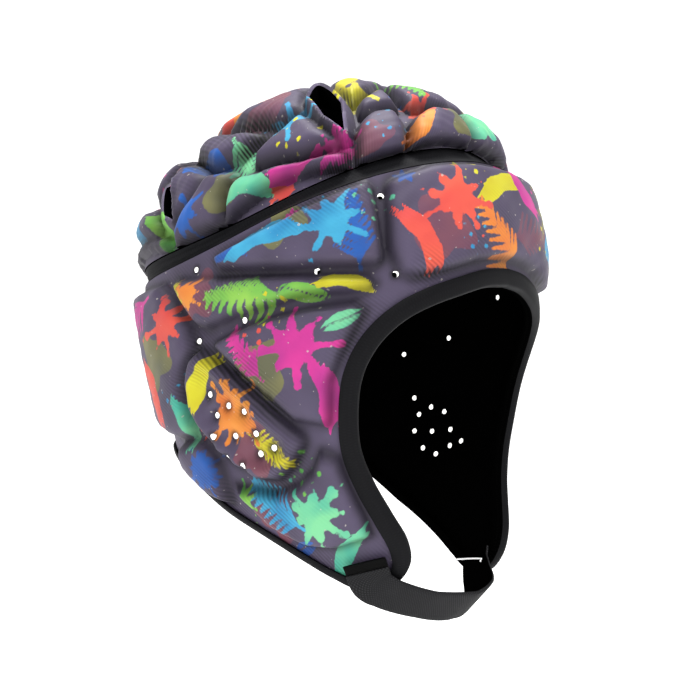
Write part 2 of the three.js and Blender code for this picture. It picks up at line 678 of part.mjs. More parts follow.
function webbingSection(frame, thick, rise) {
  const corners = [[-1, -1], [1, -1], [1, 1], [-1, 1]];
  return corners.map(([w, h]) => frame.at.clone().addScaledVector(frame.wide, w * STRAP_WIDTH / 2)
    .addScaledVector(frame.out, h * thick / 2 + rise));
}

function strapGeometry() {
  const sections = [];
  for (let k = 0; k <= STRAP_STATIONS; k += 1) {
    sections.push(webbingSection(strapFrame(k / STRAP_STATIONS), STRAP_THICK, 0));
  }
  return sweep(sections, false);
}

function tabGeometry() {
  const frame = strapFrame(0);
  const ends = [GAP, GAP + TAB_LENGTH].map((way) => {
    const at = frame.at.clone().addScaledVector(frame.ahead, -way);
    return webbingSection({ ...frame, at }, TAB_THICK, -TAB_SINK);
  });
  return sweep(ends, false);
}

// Pieces
const helmet = new THREE.Group();
helmet.name = 'soft_shell_helmet';
helmet.position.copy(APEX).negate();

function addPiece(name, geometry, color, roughness) {
  const flat = geometry.index ? geometry.toNonIndexed() : geometry;
  flat.computeVertexNormals();
  const mesh = new THREE.Mesh(flat, new THREE.MeshStandardMaterial({ color, roughness, metalness: 0 }));
  mesh.name = name;
  helmet.add(mesh);
}

const hands = [1, -1];
const bodyMiddles = [0, 180 * MEAN_ARC];

function padRise(pad) {
  return (deep) => {
    const dish = pad.dish ? pad.dish * flankCurve(Math.max(deep - pad.flank, 0), pad.flank) : 0;
    return PAD_LIFT * flankCurve(deep + 1, pad.flank) - dish;
  };
}

const onSkin = (lift) => (p) => bodyPoint(p.turn, p.height, lift);
const bodyFlat = thicken(bodySheet(), onSkin(0), onSkin(FLAT));
const pads = PADS.flatMap((pad) => outlinesOf(pad.corners, bodyPlan, bodyMiddles).map((corners) => {
  const outline = easedOutline(corners, PAD_EASE, PAD_STEP).map(clearOfTape);
  return cushion(outline, onBody, PAD_RINGS, FLAT, padRise(pad));
}));
const pins = hands.flatMap((hand) => [...HOLES, ...EAR_HOLES]
  .map(([turn, height]) => holeCutter(hand * turn, height)));
addPiece('body_shell', build(bodyFlat, pads, pins), '#5c5563', 0.75);

const onDome = (lift) => (p) => crownPoint(p.turn, p.reach, lift);
const crownFlat = thicken(crownSheet(), onDome(0), onDome(CREASE));
const cellRise = (lift) => (deep) => lift * flankCurve(deep + 1, CELL_FLANK);
const cellCushion = (outline, lift) => cushion(outline, onCrown, CELL_RINGS, CREASE, cellRise(lift));
const cells = CELLS.flatMap((cell) => outlinesOf(cell.corners, crownPlan, [0])
  .map((corners) => cellCushion(easedOutline(corners, 0, PAD_STEP), CELL_LIFT)));
const ventOutlines = VENTS.flatMap((vent) => outlinesOf(vent.corners, crownPlan, [0]));
const lips = ventOutlines.map((outline) => cellCushion(grown(outline, VENT_LIP), LIP_LIFT));
addPiece('crown', build(crownFlat, [...cells, ...lips], ventOutlines.map(ventCutter)), '#6a6470', 0.75);

addPiece('crown_band', bandGeometry(), '#202122', 0.85);
addPiece('edge_binding', bindingGeometry(), '#242526', 0.8);
addPiece('chin_strap', strapGeometry(), '#2b2c2d', 0.85);
addPiece('strap_tab', tabGeometry(), '#1b1c1d', 0.7);

const root = new THREE.Group();
root.name = 'helmet_frame';
root.add(helmet);

export default root;
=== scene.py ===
# %% [markdown]
# # A soft shell helmet
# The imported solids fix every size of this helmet. They are built of a few thousand flat faces, so
# this lesson lays finer surfaces over them: moulded pads, a quilted crown, tapes and webbing. Each
# surface is worked out as whole arrays with numpy and then handed to Blender in one go.

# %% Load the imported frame
import json
import math

import bpy
import numpy as np
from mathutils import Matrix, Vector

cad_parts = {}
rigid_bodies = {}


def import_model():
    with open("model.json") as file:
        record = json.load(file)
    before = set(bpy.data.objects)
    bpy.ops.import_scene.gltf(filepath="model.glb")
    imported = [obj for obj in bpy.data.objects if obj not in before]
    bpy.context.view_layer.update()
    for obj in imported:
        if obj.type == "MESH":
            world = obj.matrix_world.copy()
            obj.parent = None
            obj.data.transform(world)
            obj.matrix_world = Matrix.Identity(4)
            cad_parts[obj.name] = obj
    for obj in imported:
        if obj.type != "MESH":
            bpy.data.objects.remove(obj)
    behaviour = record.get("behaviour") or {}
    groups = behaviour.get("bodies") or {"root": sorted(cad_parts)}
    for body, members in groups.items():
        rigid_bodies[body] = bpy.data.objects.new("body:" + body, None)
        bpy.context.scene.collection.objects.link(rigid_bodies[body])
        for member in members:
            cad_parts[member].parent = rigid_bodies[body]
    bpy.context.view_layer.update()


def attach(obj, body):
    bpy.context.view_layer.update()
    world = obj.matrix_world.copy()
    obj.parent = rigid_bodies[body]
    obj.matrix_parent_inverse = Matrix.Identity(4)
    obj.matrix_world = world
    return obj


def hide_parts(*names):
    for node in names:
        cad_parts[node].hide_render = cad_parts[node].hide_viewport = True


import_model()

# %% [markdown]
# ## The head form
# A headguard is moulded over a head form, so one surface carries every piece. It could be sculpted,
# but a table of level sections is easier to match to a real head: each row gives half the width and
# the reach to the front and to the back, and a superellipse joins them. A place on it is named by its
# turn, in degrees from the front towards the wearer's right, and its height above the ear line, in mm.

# %% Head form
MM = 0.001
SECTION_POWER = 2.3
APEX = np.array([0.0, 8.0, 121.0])
HEIGHT, SIDE, FRONT, BACK = np.array([
    (-150, 31, 69, 66),
    (-125, 40, 71, 69),
    (-90, 56.5, 77, 75),
    (-60, 69.5, 73, 79.5),
    (-30, 77, 78, 85),
    (0, 79, 86, 96.5),
    (30, 79, 86, 106),
    (60, 75.5, 83, 100),
    (90, 66, 75.5, 89),
    (115, 50, 60, 70),
]).T


def column_curve(rows, column):
    """Cubic pieces through a column; a row's slope is the rise between its neighbours over their gap."""
    k = np.arange(len(rows))
    before, after = np.maximum(k - 1, 0), np.minimum(k + 1, len(rows) - 1)
    slope = (column[after] - column[before]) / (rows[after] - rows[before])

    def curve(x):
        k = np.searchsorted(rows[1:-1], x)
        step = rows[k + 1] - rows[k]
        t = (x - rows[k]) / step
        return ((1 + 2 * t) * (1 - t) ** 2 * column[k] + t * (1 - t) ** 2 * step * slope[k]
                + t * t * (3 - 2 * t) * column[k + 1] + t * t * (t - 1) * step * slope[k + 1])

    return curve


side_at, front_at, back_at = (column_curve(HEIGHT, column) for column in (SIDE, FRONT, BACK))


def form_radius(turn, height):
    """Superellipse: the radius r solves (r sin / side)^p + (r cos / reach)^p = 1 at each level."""
    s, c = np.abs(np.sin(np.radians(turn))), np.cos(np.radians(turn))
    reach = np.where(c > 0, front_at(height), back_at(height))
    power = SECTION_POWER
    return ((s / side_at(height)) ** power + (np.abs(c) / reach) ** power) ** (-1 / power)


def form_point(turn, height):
    """A point at that radius; the front is -Y and the wearer's right is -X."""
    r = form_radius(turn, height)
    return np.stack([-r * np.sin(np.radians(turn)), -r * np.cos(np.radians(turn)), height + 0 * r], -1)


def unit_normal(point, u, v, du, dv):
    """The cross product of the two tangents, each a difference over a small step, at length one."""
    along_u = point(u + du, v) - point(u - du, v)
    along_v = point(u, v + dv) - point(u, v - dv)
    normal = np.cross(along_v, along_u)
    return normal / np.linalg.norm(normal, axis=-1, keepdims=True)


def body_point(turn, height, lift):
    """The form plus lift times its outward normal."""
    turn, height, lift = np.broadcast_arrays(turn, height, np.asarray(lift, float))
    return form_point(turn, height) + unit_normal(form_point, turn, height, 0.1, 0.1) * lift[..., None]


brow_round = form_point(np.linspace(0, 360, 400), np.full(400, 40.0))
brow_length = np.linalg.norm(np.diff(brow_round, axis=0), axis=1).sum()
print("inside length of one round at the brow:", round(float(brow_length)), "mm")

# %% [markdown]
# ## The lower edge
# The edge of the body runs from the brow down the face opening, round the tip of the jaw flap and back
# along the rim to the nape. A table gives its corners and the width of the tape that binds it there. A
# centripetal spline joins them, because it makes no loops where the corners come close.

# %% Lower edge
MEAN_ARC = 1.4
NECK_FRONT, TIP_FRONT, TIP_BACK, NECK_BACK, NAPE_MIDDLE = 6, 13, 15, 22, 25
EDGE_ROWS = np.array([
    (0, 27, 8), (10, 25.5, 8), (20, 21, 8), (29, 16, 8), (36, 10.5, 8), (42, 3, 8), (46.5, -6, 8),
    (49.5, -17, 8), (50.5, -32, 8), (49.5, -47, 8), (45, -61.5, 8), (38.5, -75.5, 8), (33, -87, 8),
    (31.5, -96, 7), (35, -104, 5), (46, -106.5, 3.5), (58, -101.5, 2.5), (71, -94.5, 2.5),
    (83.5, -87.5, 2.5), (95, -81, 2.5), (105.5, -74.5, 2.5), (114.5, -67, 2.5), (125, -57.5, 2.5),
    (136, -50, 2.5), (157, -44, 2.5), (180, -41.5, 2.5),
])


def spline(rows, where):
    """Centripetal spline: steps between rows are root distances, and tangents weigh the chords by them."""
    ends = [2 * rows[0] - rows[1]], [2 * rows[-1] - rows[-2]]
    p = np.concatenate([ends[0], rows, ends[1]])
    k = np.clip(np.floor(where).astype(int), 0, len(rows) - 2)
    t = (where - k)[:, None]
    p0, p1, p2, p3 = p[k], p[k + 1], p[k + 2], p[k + 3]
    d0, d1, d2 = (np.sqrt(np.linalg.norm(b - a, axis=1))[:, None] for a, b in ((p0, p1), (p1, p2), (p2, p3)))
    out = ((p1 - p0) / d0 - (p2 - p0) / (d0 + d1) + (p2 - p1) / d1) * d1
    into = ((p2 - p1) / d1 - (p3 - p1) / (d1 + d2) + (p3 - p2) / d2) * d1
    bend, twist = 3 * p2 - 3 * p1 - 2 * out - into, 2 * p1 - 2 * p2 + out + into
    return p1 + out * t + bend * t ** 2 + twist * t ** 3


def edge_run(first, last, count):
    """Turn, height and tape at even steps along the edge, between two rows of the table."""
    fine = spline(EDGE_ROWS * [MEAN_ARC, 1, 1], np.linspace(first, last, 400))
    way = np.concatenate([[0], np.cumsum(np.linalg.norm(np.diff(fine, axis=0), axis=1))])
    even = np.linspace(0, way[-1], count + 1)
    return np.stack([np.interp(even, way, column) for column in fine.T], -1) / [MEAN_ARC, 1, 1]


BROW, NECK, NAPE, FLAP = 64, 88, 74, 78
brow = edge_run(0, NECK_FRONT, BROW)
opening = edge_run(NECK_FRONT, TIP_FRONT, FLAP)
tip = edge_run(TIP_FRONT, TIP_BACK, NECK)
rim = edge_run(TIP_BACK, NECK_BACK, FLAP)
nape = edge_run(NECK_BACK, NAPE_MIDDLE, NAPE)


def both_sides(half):
    """The right half of a closed line followed by its mirror image, without the two middle places twice."""
    return np.concatenate([half, half[-2:0:-1] * ([-1] + [1] * (half.shape[1] - 1))])


edge_line = np.concatenate([brow, opening[1:], tip[1:], rim[1:], nape[1:]])
print("places along half the edge:", len(edge_line))

# %% [markdown]
# ## Shells from grids
# A padded laminate has an outer skin, an inner skin and a wall that joins them at every edge and hole.
# The Solidify modifier makes that from one sheet, but here the two skins differ, the outer one being
# moulded. So both are computed, and the wall is laid between the edges that only one face uses.


# %% Shell helpers
def grid_faces(ids):
    """Four-cornered faces between neighbours in a table of vertex numbers."""
    return np.stack([ids[:-1, :-1], ids[:-1, 1:], ids[1:, 1:], ids[1:, :-1]], -1).reshape(-1, 4)


def free_edges(*face_sets):
    """Directed edges whose reverse no face has."""
    edges = np.concatenate([np.stack([f, np.roll(f, -1, 1)], -1).reshape(-1, 2) for f in face_sets])
    size = edges.max() + 1
    return edges[~np.isin(edges[:, 0] * size + edges[:, 1], edges[:, 1] * size + edges[:, 0])]


def mesh_piece(name, points, face_sets, slots, fields=None, uv=None):
    """A mesh from points in mm about the ear line and sets of faces; unused points drop out."""
    used, corner = np.unique(np.concatenate([f.ravel() for f in face_sets]), return_inverse=True)
    totals = np.concatenate([np.full(len(f), f.shape[1]) for f in face_sets])
    starts = np.concatenate([[0], np.cumsum(totals)[:-1]])
    place = (points[used] - APEX) * MM
    mesh = bpy.data.meshes.new(name)
    mesh.vertices.add(len(used))
    mesh.vertices.foreach_set("co", place.ravel())
    mesh.loops.add(len(corner))
    mesh.loops.foreach_set("vertex_index", corner.astype(np.int32))
    mesh.polygons.add(len(totals))
    mesh.polygons.foreach_set("loop_start", starts.astype(np.int32))
    index = np.concatenate([np.broadcast_to(s, len(f)) for s, f in zip(slots, face_sets)])
    mesh.polygons.foreach_set("material_index", index.astype(np.int32))
    mesh.update(calc_edges=True)
    for field, values in (fields or {}).items():
        layer = mesh.attributes.new(field, "FLOAT", "POINT")
        layer.data.foreach_set("value", values[used].astype(np.float32))
    if uv is not None:
        layer = mesh.uv_layers.new(name="cloth")
        layer.data.foreach_set("uv", (uv[used][corner] * MM).astype(np.float32).ravel())
    mesh.shade_smooth()
    mesh.set_sharp_from_angle(angle=math.radians(50))
    piece = bpy.data.objects.new(name, mesh)
    bpy.context.scene.collection.objects.link(piece)
    print(name, "points", len(used), "triangles", int((totals - 2).sum()))
    return piece


def outward(points, face_sets):
    """The same faces, turned round if the volume they close, a sum of triple products, is negative."""
    volume = 0.0
    for f in face_sets:
        a = points[f[:, 0]]
        for k in range(1, f.shape[1] - 1):
            volume += (a * np.cross(points[f[:, k]], points[f[:, k + 1]])).sum()
    return [f[:, ::-1] for f in face_sets] if volume < 0 else face_sets


# %% [markdown]
# ## The body's grid
# The body is one sheet before it is moulded. It could be drawn as a flat pattern and wrapped, but a grid
# on the head form needs no wrapping: columns of places run up from the lower edge to the seam all the
# way round, and below the neck line two flaps hang on them.

# %% Body grid
SEAM_FRONT, SEAM_SIDE, SEAM_BACK = 81, 48, 30
ROWS = 68


def seam_height(turn):
    """Two cosines that pass through the heights at the front, the sides and the back."""
    ends, a = (SEAM_FRONT + SEAM_BACK) / 2, np.radians(turn)
    middle, swing, dip = (ends + SEAM_SIDE) / 2, (SEAM_FRONT - SEAM_BACK) / 2, (ends - SEAM_SIDE) / 2
    return middle + swing * np.cos(a) + dip * np.cos(2 * a)


def lerp(a, b, t):
    """The straight way from a to b, at share t."""
    return a + (b - a) * t


def body_grid():
    """Places as turn and height, and the faces between them: the round block and the two flaps."""
    neck = lerp(brow[-1], nape[0], np.linspace(0, 1, NECK + 1)[:, None])
    feet = both_sides(np.concatenate([brow, neck[1:], nape[1:]]))[:, :2]
    t = np.linspace(0, 1, ROWS + 1)[:, None]
    blocks = [np.stack([feet[:, 0] + 0 * t, lerp(feet[:, 1], seam_height(feet[:, 0]), t)], -1).reshape(-1, 2)]
    ids = np.arange(len(blocks[0])).reshape(ROWS + 1, len(feet))
    faces = [grid_faces(np.concatenate([ids, ids[:, :1]], 1))]
    across = np.linspace(0, 1, NECK + 1)[:, None]
    sheet = np.stack([lerp(opening[j, :2], rim[FLAP - j, :2], across) for j in range(1, FLAP)] + [tip[:, :2]])
    for hand in (1, -1):
        start = sum(map(len, blocks))
        blocks.append((sheet * [hand, 1]).reshape(-1, 2))
        top = BROW + np.arange(NECK + 1) if hand > 0 else len(feet) - BROW - np.arange(NECK + 1)
        ids = np.concatenate([top[None], start + np.arange(sheet[..., 0].size).reshape(FLAP, NECK + 1)])
        faces.append(grid_faces(ids)[:, ::-1] if hand > 0 else grid_faces(ids))
    return np.concatenate(blocks), np.concatenate(faces)


# %% [markdown]
# Breathing holes are punched through the laminate. A boolean cut would leave ragged slivers in so fine a
# grid. Instead the faces inside a circle are left out, and the places round the gap are drawn onto it.

# %% Breathing holes
HOLE_RADIUS = 1.4
HOLES = np.array([(43, 61), (39.5, 27.5), (108.5, 34), (106.5, 1.5), (61, 29), (86, 9.5)])
EAR_HOLES = np.array([
    (101.5, -22.5), (93.5, -27.5), (99, -31.5), (87, -30), (100.5, -40.5), (92, -40.5), (83, -39.5),
    (76.5, -45.5), (82, -48), (95.5, -49.5), (88.5, -52.5),
])


def from_hole(places, hole):
    """Offsets in mm along the surface from a hole's middle: degrees become arc by the local radius."""
    arc = np.radians(form_radius(*hole))
    return (places - hole) * [arc, 1], np.array([arc, 1])


def punch(places, faces, holes):
    """Leaves out faces inside each hole's circle and draws the places round the gap onto the circle."""
    rims = np.zeros(len(places), bool)
    for hole in holes:
        offset, scale = from_hole(places, hole)
        inside = np.linalg.norm(offset[faces].mean(1), axis=1) < HOLE_RADIUS
        near = np.intersect1d(faces[inside], faces[~inside])
        faces = faces[~inside]
        way = offset[near] / np.linalg.norm(offset[near], axis=1, keepdims=True)
        places[near] = hole + way * HOLE_RADIUS / scale
        rims[near] = True
    return faces, rims


body_places, body_faces = body_grid()
all_holes = np.concatenate([HOLES, EAR_HOLES])
all_holes = np.concatenate([all_holes, all_holes * [-1, 1]])
body_faces, hole_rims = punch(body_places, body_faces, all_holes)
print("body places:", len(body_places), "holes:", len(all_holes))

# %% [markdown]
# ## Moulded pads
# The pads are foam, pressed flat along the valleys between them and free to swell in the middle. Cloth
# simulation could swell them, but it rounds off the pressed lines. A formula keeps them crisp: the
# deeper a place lies inside a pad's outline, the further it has climbed a steep quarter circle at the
# flank and a slow one over the top.

# %% Pads of the body
PADS = [  # name, depth of its dish, corners as turn and height
    ("forehead", 0, [(0, 78.5), (14, 78), (28, 75), (39.5, 68), (41.5, 65), (41, 38), (38.5, 28), (34, 27),
                     (26, 30), (16, 35), (7, 37.5), (0, 38)]),
    ("temple", 0, [(99, 38), (73, 51), (59, 59.5), (47.5, 66.5), (45.5, 64.5), (43, 33.5), (45, 31.5),
                   (70, 31), (96, 33)]),
    ("finger", 0, [(118, 29.5), (83, 27.5), (47, 26), (45, 23.5), (47, 21), (64, 19), (80, 14), (101, 7),
                   (106, 9.5), (112.5, 19)]),
    ("cheek", 0, [(98.5, -0.5), (83, 7), (64, 12.5), (50, 15), (48, 12), (54.5, -6.5), (57.5, -17.5),
                  (58, -35.5), (68, -33), (75.5, -24), (87.5, -12)]),
    ("ear", 4.5, [(104.5, -2.5), (88.5, -16), (77.5, -28), (66, -40.5), (65.5, -43.5), (70, -53.5),
                  (75.5, -58.5), (84, -58.5), (97, -51), (104, -42), (110.5, -29.5), (111.5, -16.5),
                  (109, -7)]),
    ("jaw", 0, [(60.5, -47), (54.5, -50), (48.5, -71), (44, -83), (56, -88), (67.5, -87.5), (83.5, -78.5),
                (97, -63), (86.5, -63.5), (76.5, -65), (68, -61), (63, -55)]),
    ("back_side", 0, [(146, 27.5), (124, 28.5), (119.5, 21.5), (109.5, 10), (107, -2), (111.5, -8.5),
                      (113.5, -17), (113, -30), (110.5, -39.5), (121, -41.5), (146, -34)]),
    ("nape_side", 0, [(122, -44.5), (107, -43), (101.5, -53.5), (101.5, -70), (112.5, -65.5),
                      (123, -55)]),
    ("nape", 0, [(180, 27.5), (151, 27.5), (151, -33), (180, -33)]),
]
print("pads on each half:", [name for name, dish, corners in PADS])


# %% Distance from an outline
def to_sides(p, corners):
    """For each place and each side of an outline, the nearest point of the side."""
    side = np.roll(corners, -1, 0) - corners
    t = np.clip(((p[:, None] - corners) * side).sum(-1) / (side ** 2).sum(-1), 0, 1)
    return corners + t[..., None] * side


def signed_depth(p, corners):
    """Distance inside an outline, a power mean of order -4 over its sides; negative outside."""
    away = np.linalg.norm(p[:, None] - to_sides(p, corners), axis=-1)
    a, b = corners, np.roll(corners, -1, 0)
    spans = (a[:, 1] > p[:, None, 1]) != (b[:, 1] > p[:, None, 1])
    fall = np.where(a[:, 1] == b[:, 1], 1, b[:, 1] - a[:, 1])
    cross = a[:, 0] + (p[:, None, 1] - a[:, 1]) * (b[:, 0] - a[:, 0]) / fall
    inside = (spans & (p[:, None, 0] < cross)).sum(1) % 2 == 1
    return np.where(inside, (np.maximum(away, 0.01) ** -4).sum(1) ** -0.25, -away.min(1))


def whole_outline(corners, middles):
    """An outline that starts and ends on the helmet's middle line carries on to the other half."""
    middle = [x for x in middles if abs(corners[0, 0] - x) + abs(corners[-1, 0] - x) < 1e-6]
    return np.concatenate([corners, corners[-2:0:-1] * [-1, 1] + [2 * middle[0], 0]]) if middle else corners


# %% Swelling of the pads
FLAT, PAD_LIFT = 3.2, 7.5
FLANK, CREST, STEEP = 3.6, 19, 0.7
FOOT, FOOT_WIDTH = 0.7, 1.8
DISH_FROM, DISH_FLANK = 5, 5
TAPE_ROOM, OVERHANG = 0.6, 0.3


def edge_room(places):
    """Distance in mm from the tape's free edge: from the nearest stretch of the lower edge, less the tape."""
    arc = np.radians(form_radius(places[:, 0], places[:, 1]))
    gap = np.abs(places[:, None, 0]) - edge_line[:, 0]
    away = np.hypot(gap * arc[:, None], places[:, None, 1] - edge_line[:, 1])
    near = away.argmin(1)
    return away[np.arange(len(near)), near] - edge_line[near, 2]


def quarter_round(depth, flank):
    """Height of a quarter circle, as a share, at a depth that is a share of the flank's width."""
    t = np.clip(depth / flank, 0, 1)
    return np.sqrt(1 - (1 - t) ** 2)


def cushion(depth, steep, crest):
    """Height of a pad as a share: a steep quarter round at the flank plus a slow one over the top."""
    return steep * quarter_round(depth + OVERHANG, FLANK) + (1 - steep) * quarter_round(depth, crest)


def valley_shade_bell(depth, width):
    """Painted shade in the valley at a pad's foot: a bell a little outside the outline."""
    return np.exp(-((depth + FOOT) / width) ** 2)


def pads_relief(places):
    """Lift over the pressed flat, the highest of the pads less a pad's dish, and the greatest depth."""
    p = np.stack([np.abs(places[:, 0]) * MEAN_ARC, places[:, 1]], -1)
    room = edge_room(places)
    lift, inmost = np.zeros(len(p)), np.full(len(p), -60.0)
    for name, dish, corners in PADS:
        outline = whole_outline(np.array(corners, float) * [MEAN_ARC, 1], (0, 180 * MEAN_ARC))
        depth = np.minimum(signed_depth(p, outline), room - TAPE_ROOM)
        hollow = dish * quarter_round(np.maximum(depth - DISH_FROM, 0), DISH_FLANK)
        lift = np.maximum(lift, PAD_LIFT * cushion(depth, STEEP, CREST) - hollow)
        inmost = np.maximum(inmost, depth)
    return lift, inmost


def soften(values, faces, passes=1):
    """Each place takes the mean of the faces round it; this irons out the steps of the grid."""
    count = np.bincount(faces.ravel(), minlength=len(values))
    for _ in range(passes):
        means = np.repeat(values[faces].mean(1), faces.shape[1])
        sums = np.bincount(faces.ravel(), means, len(values))
        values = np.where(count, sums / np.maximum(count, 1), values)
    return values


pad_lift, pad_depth = pads_relief(body_places)
pad_lift = soften(pad_lift, body_faces)
print("tallest pad:", round(float(pad_lift.max()), 2), "mm over the flat")

# %% [markdown]
# Foam never swells evenly. A noise texture in a Displace modifier could show that, but a few crossed
# waves are enough, and they fade out at the pressed edge. A dimple is drawn in round every hole.

# %% Puckers and dimples
DIMPLE, DIMPLE_WIDTH = 2.4, 3.8
PUCKER, PUCKER_FROM = 0.7, 3


def unevenness(p):
    """Crossed sine waves in mm, of wavelengths from 8 to 45 mm."""
    x, y = p.T
    return (0.45 * np.sin(0.14 * x + 0.9) * np.sin(0.17 * y + 0.4) + 0.22 * np.sin(0.33 * x - 0.21 * y)
            + 0.14 * np.sin(0.52 * x + 0.61 * y + 1.7))


def dimples(places, holes):
    """A bell-shaped hollow round each hole."""
    hollow = np.zeros(len(places))
    for hole in holes:
        away = np.linalg.norm(from_hole(places, hole)[0], axis=1)
        hollow = np.maximum(hollow, DIMPLE * np.exp(-(away / DIMPLE_WIDTH) ** 2))
    return hollow


body_plan = body_places * [MEAN_ARC, 1]
share = np.clip(pad_lift / PUCKER_FROM, 0, 1)
puckers = PUCKER * unevenness(body_plan) - dimples(body_places, all_holes)
body_lift = FLAT + pad_lift + puckers * share
print("outer skin between", round(float(body_lift.min()), 2), "and", round(float(body_lift.max()), 2), "mm")

# %% [markdown]
# ## The print
# The knit is printed before it is moulded. The design here is a made-up one of paint splats, brush
# strokes, fronds and stars. Painting it into vertex colours would blur its edges, because a face is
# wider than the edge of a printed shape. So each ink is stored as a distance from its nearest edge,
# negative inside, and the material draws the line where that distance is nought.


# %% Motifs
def bar(p, a, b, start, end):
    """Distance from a round-ended bar whose half-width changes evenly from one end to the other."""
    side = np.subtract(b, a)
    t = np.clip((p - a) @ side / (side @ side), 0, 1)
    return np.linalg.norm(p - a - t[:, None] * side, axis=1) - lerp(start, end, t)


def melt(distances):
    """A union whose inner corners are filled, as wet paint does: a soft least of the distances."""
    return -np.log(np.exp(-20 * np.clip(distances, -2, 4)).sum(0)) / 20


def motif(kind, p, phase):
    """Distance from the edge of a printed shape of size one at the origin; the phase varies it."""
    x, y = p.T
    r, a = np.hypot(x, y), np.arctan2(y, x)
    if kind == "splat":  # a pool whose runs end in drops, and a few flung further
        k = np.arange(16)
        way, reach = 0.39 * k + 0.25 * np.sin(3.1 * k + phase), 0.66 + 0.6 * np.sin(2.3 * k + phase) ** 6
        ends = reach[:, None] * np.stack([np.cos(way), np.sin(way)], -1)
        drop = 0.05 + 0.09 * np.sin(1.9 * k + phase) ** 4
        runs = [bar(p, 0.3 * e, e, 0.08, 0.03) for e in ends]
        drops = [np.linalg.norm(p - e, axis=1) - d for e, d in zip(ends, drop)]
        flung = [np.linalg.norm(p - 1.35 * e, axis=1) - 0.6 * d for e, d in zip(ends[::2], drop)]
        return melt([r - 0.54 - 0.08 * np.sin(3 * a + phase) - 0.05 * np.sin(7 * a)] + runs + drops + flung)
    if kind == "stroke":  # one sweep of a flat brush, its bristles parting towards the ends
        bow, apart = 0.26 * (1 - x * x) - 0.13, np.clip(np.abs(x) / 0.6 - 0.6, 0, 1)
        band = np.abs(y - bow) - 0.25 - 0.03 * np.sin(6 * x + phase)
        ends = np.abs(x) - 0.95 - 0.12 * np.sin(21 * y + phase) - 0.06 * np.sin(37 * y)
        return np.maximum(band, ends) + 0.09 * apart * (1 + np.sin(33 * (y - bow) + phase))
    if kind == "frond":  # a stem with pairs of leaflets that shorten towards the tip
        feet = np.stack([np.linspace(-0.7, 0.75, 8), np.linspace(-0.1, 0.12, 8)], -1)
        long = np.linspace(0.62, 0.22, 8)[:, None] * [0.66, 0.75]
        leaflets = [bar(p, f, f + d * [1, hand], 0.075, 0.03) for f, d in zip(feet, long) for hand in (1, -1)]
        return np.min([bar(p, (-1.0, -0.16), (0.95, 0.15), 0.045, 0.03)] + leaflets, 0)
    if kind == "leaf":  # a lens with a split down its middle
        lens = np.hypot(np.maximum(np.abs(x) - 1, 0), np.abs(y)) - 0.36 * (1 - np.clip(x, -1, 1) ** 2)
        return np.maximum(lens, 0.05 - np.abs(y - 0.05 * np.sin(3 * x)))
    if kind == "star":  # five points on a circle
        return r - (1 - 0.55 * (0.5 - 0.5 * np.cos(5 * a)) ** 0.7)
    if kind == "pool":  # a lazy blot
        return r - 0.8 - 0.16 * np.sin(3 * a + phase) - 0.08 * np.sin(5 * a + 2 * phase)
    k = np.arange(14)  # spatter: dots on a sunflower spiral
    dots = np.stack([np.cos(2.4 * k + phase), np.sin(2.4 * k + phase)], -1) * np.sqrt((k + 0.6) / 14)[:, None]
    return (np.linalg.norm(p[:, None] - dots, axis=-1) - 0.04 - 0.08 * np.cos(1.7 * k + phase) ** 4).min(1)


# %% Inks and where they are printed
INKS = {  # light tone, dark tone, cover
    "maroon": ("#8a4d57", "#74455c", 0.8), "olive": ("#8d8a4a", "#6c6e4a", 0.8),
    "blue": ("#2468c4", "#24509c", 1.0), "cyan": ("#48b6dc", "#2d8fc4", 1.0),
    "mint": ("#84dca0", "#48b8a0", 1.0), "lime": ("#9ad455", "#58b04c", 1.0),
    "yellow": ("#e6e02c", "#cfc024", 1.0), "orange": ("#f59c3c", "#e67a34", 1.0),
    "coral": ("#f0604c", "#de4c48", 1.0), "pink": ("#e2389c", "#bc3090", 1.0),
}
REACH = 2.0


def rows_of(table):
    """A table by ink as one list of rows: ink, kind, x, y, size in mm and angle."""
    return [(ink, *row) for ink, rows in table.items() for row in rows]


def print_fields(p, rows):
    """For each ink, the least distance over all of its motifs."""
    fields = {ink: np.full(len(p), 60.0) for ink in INKS}
    for ink, kind, x, y, size, angle in rows:
        c, s = math.cos(math.radians(angle)), math.sin(math.radians(angle))
        local = (p - [x, y]) @ np.array([[c, -s], [s, c]]) / size
        near = np.linalg.norm(local, axis=1) < REACH
        away = size * motif(kind, local[near], 0.37 * x + 0.61 * y)
        fields[ink][near] = np.minimum(fields[ink][near], away)
    return fields


def other_side(rows, mirror):
    """The rows for the wearer's left: mirrored places, each ink changed for the next but two."""
    names = list(INKS)
    return [(names[(names.index(ink) + 3) % len(names)], kind, *mirror(x, y), size, 205 - angle)
            for ink, kind, x, y, size, angle in rows]


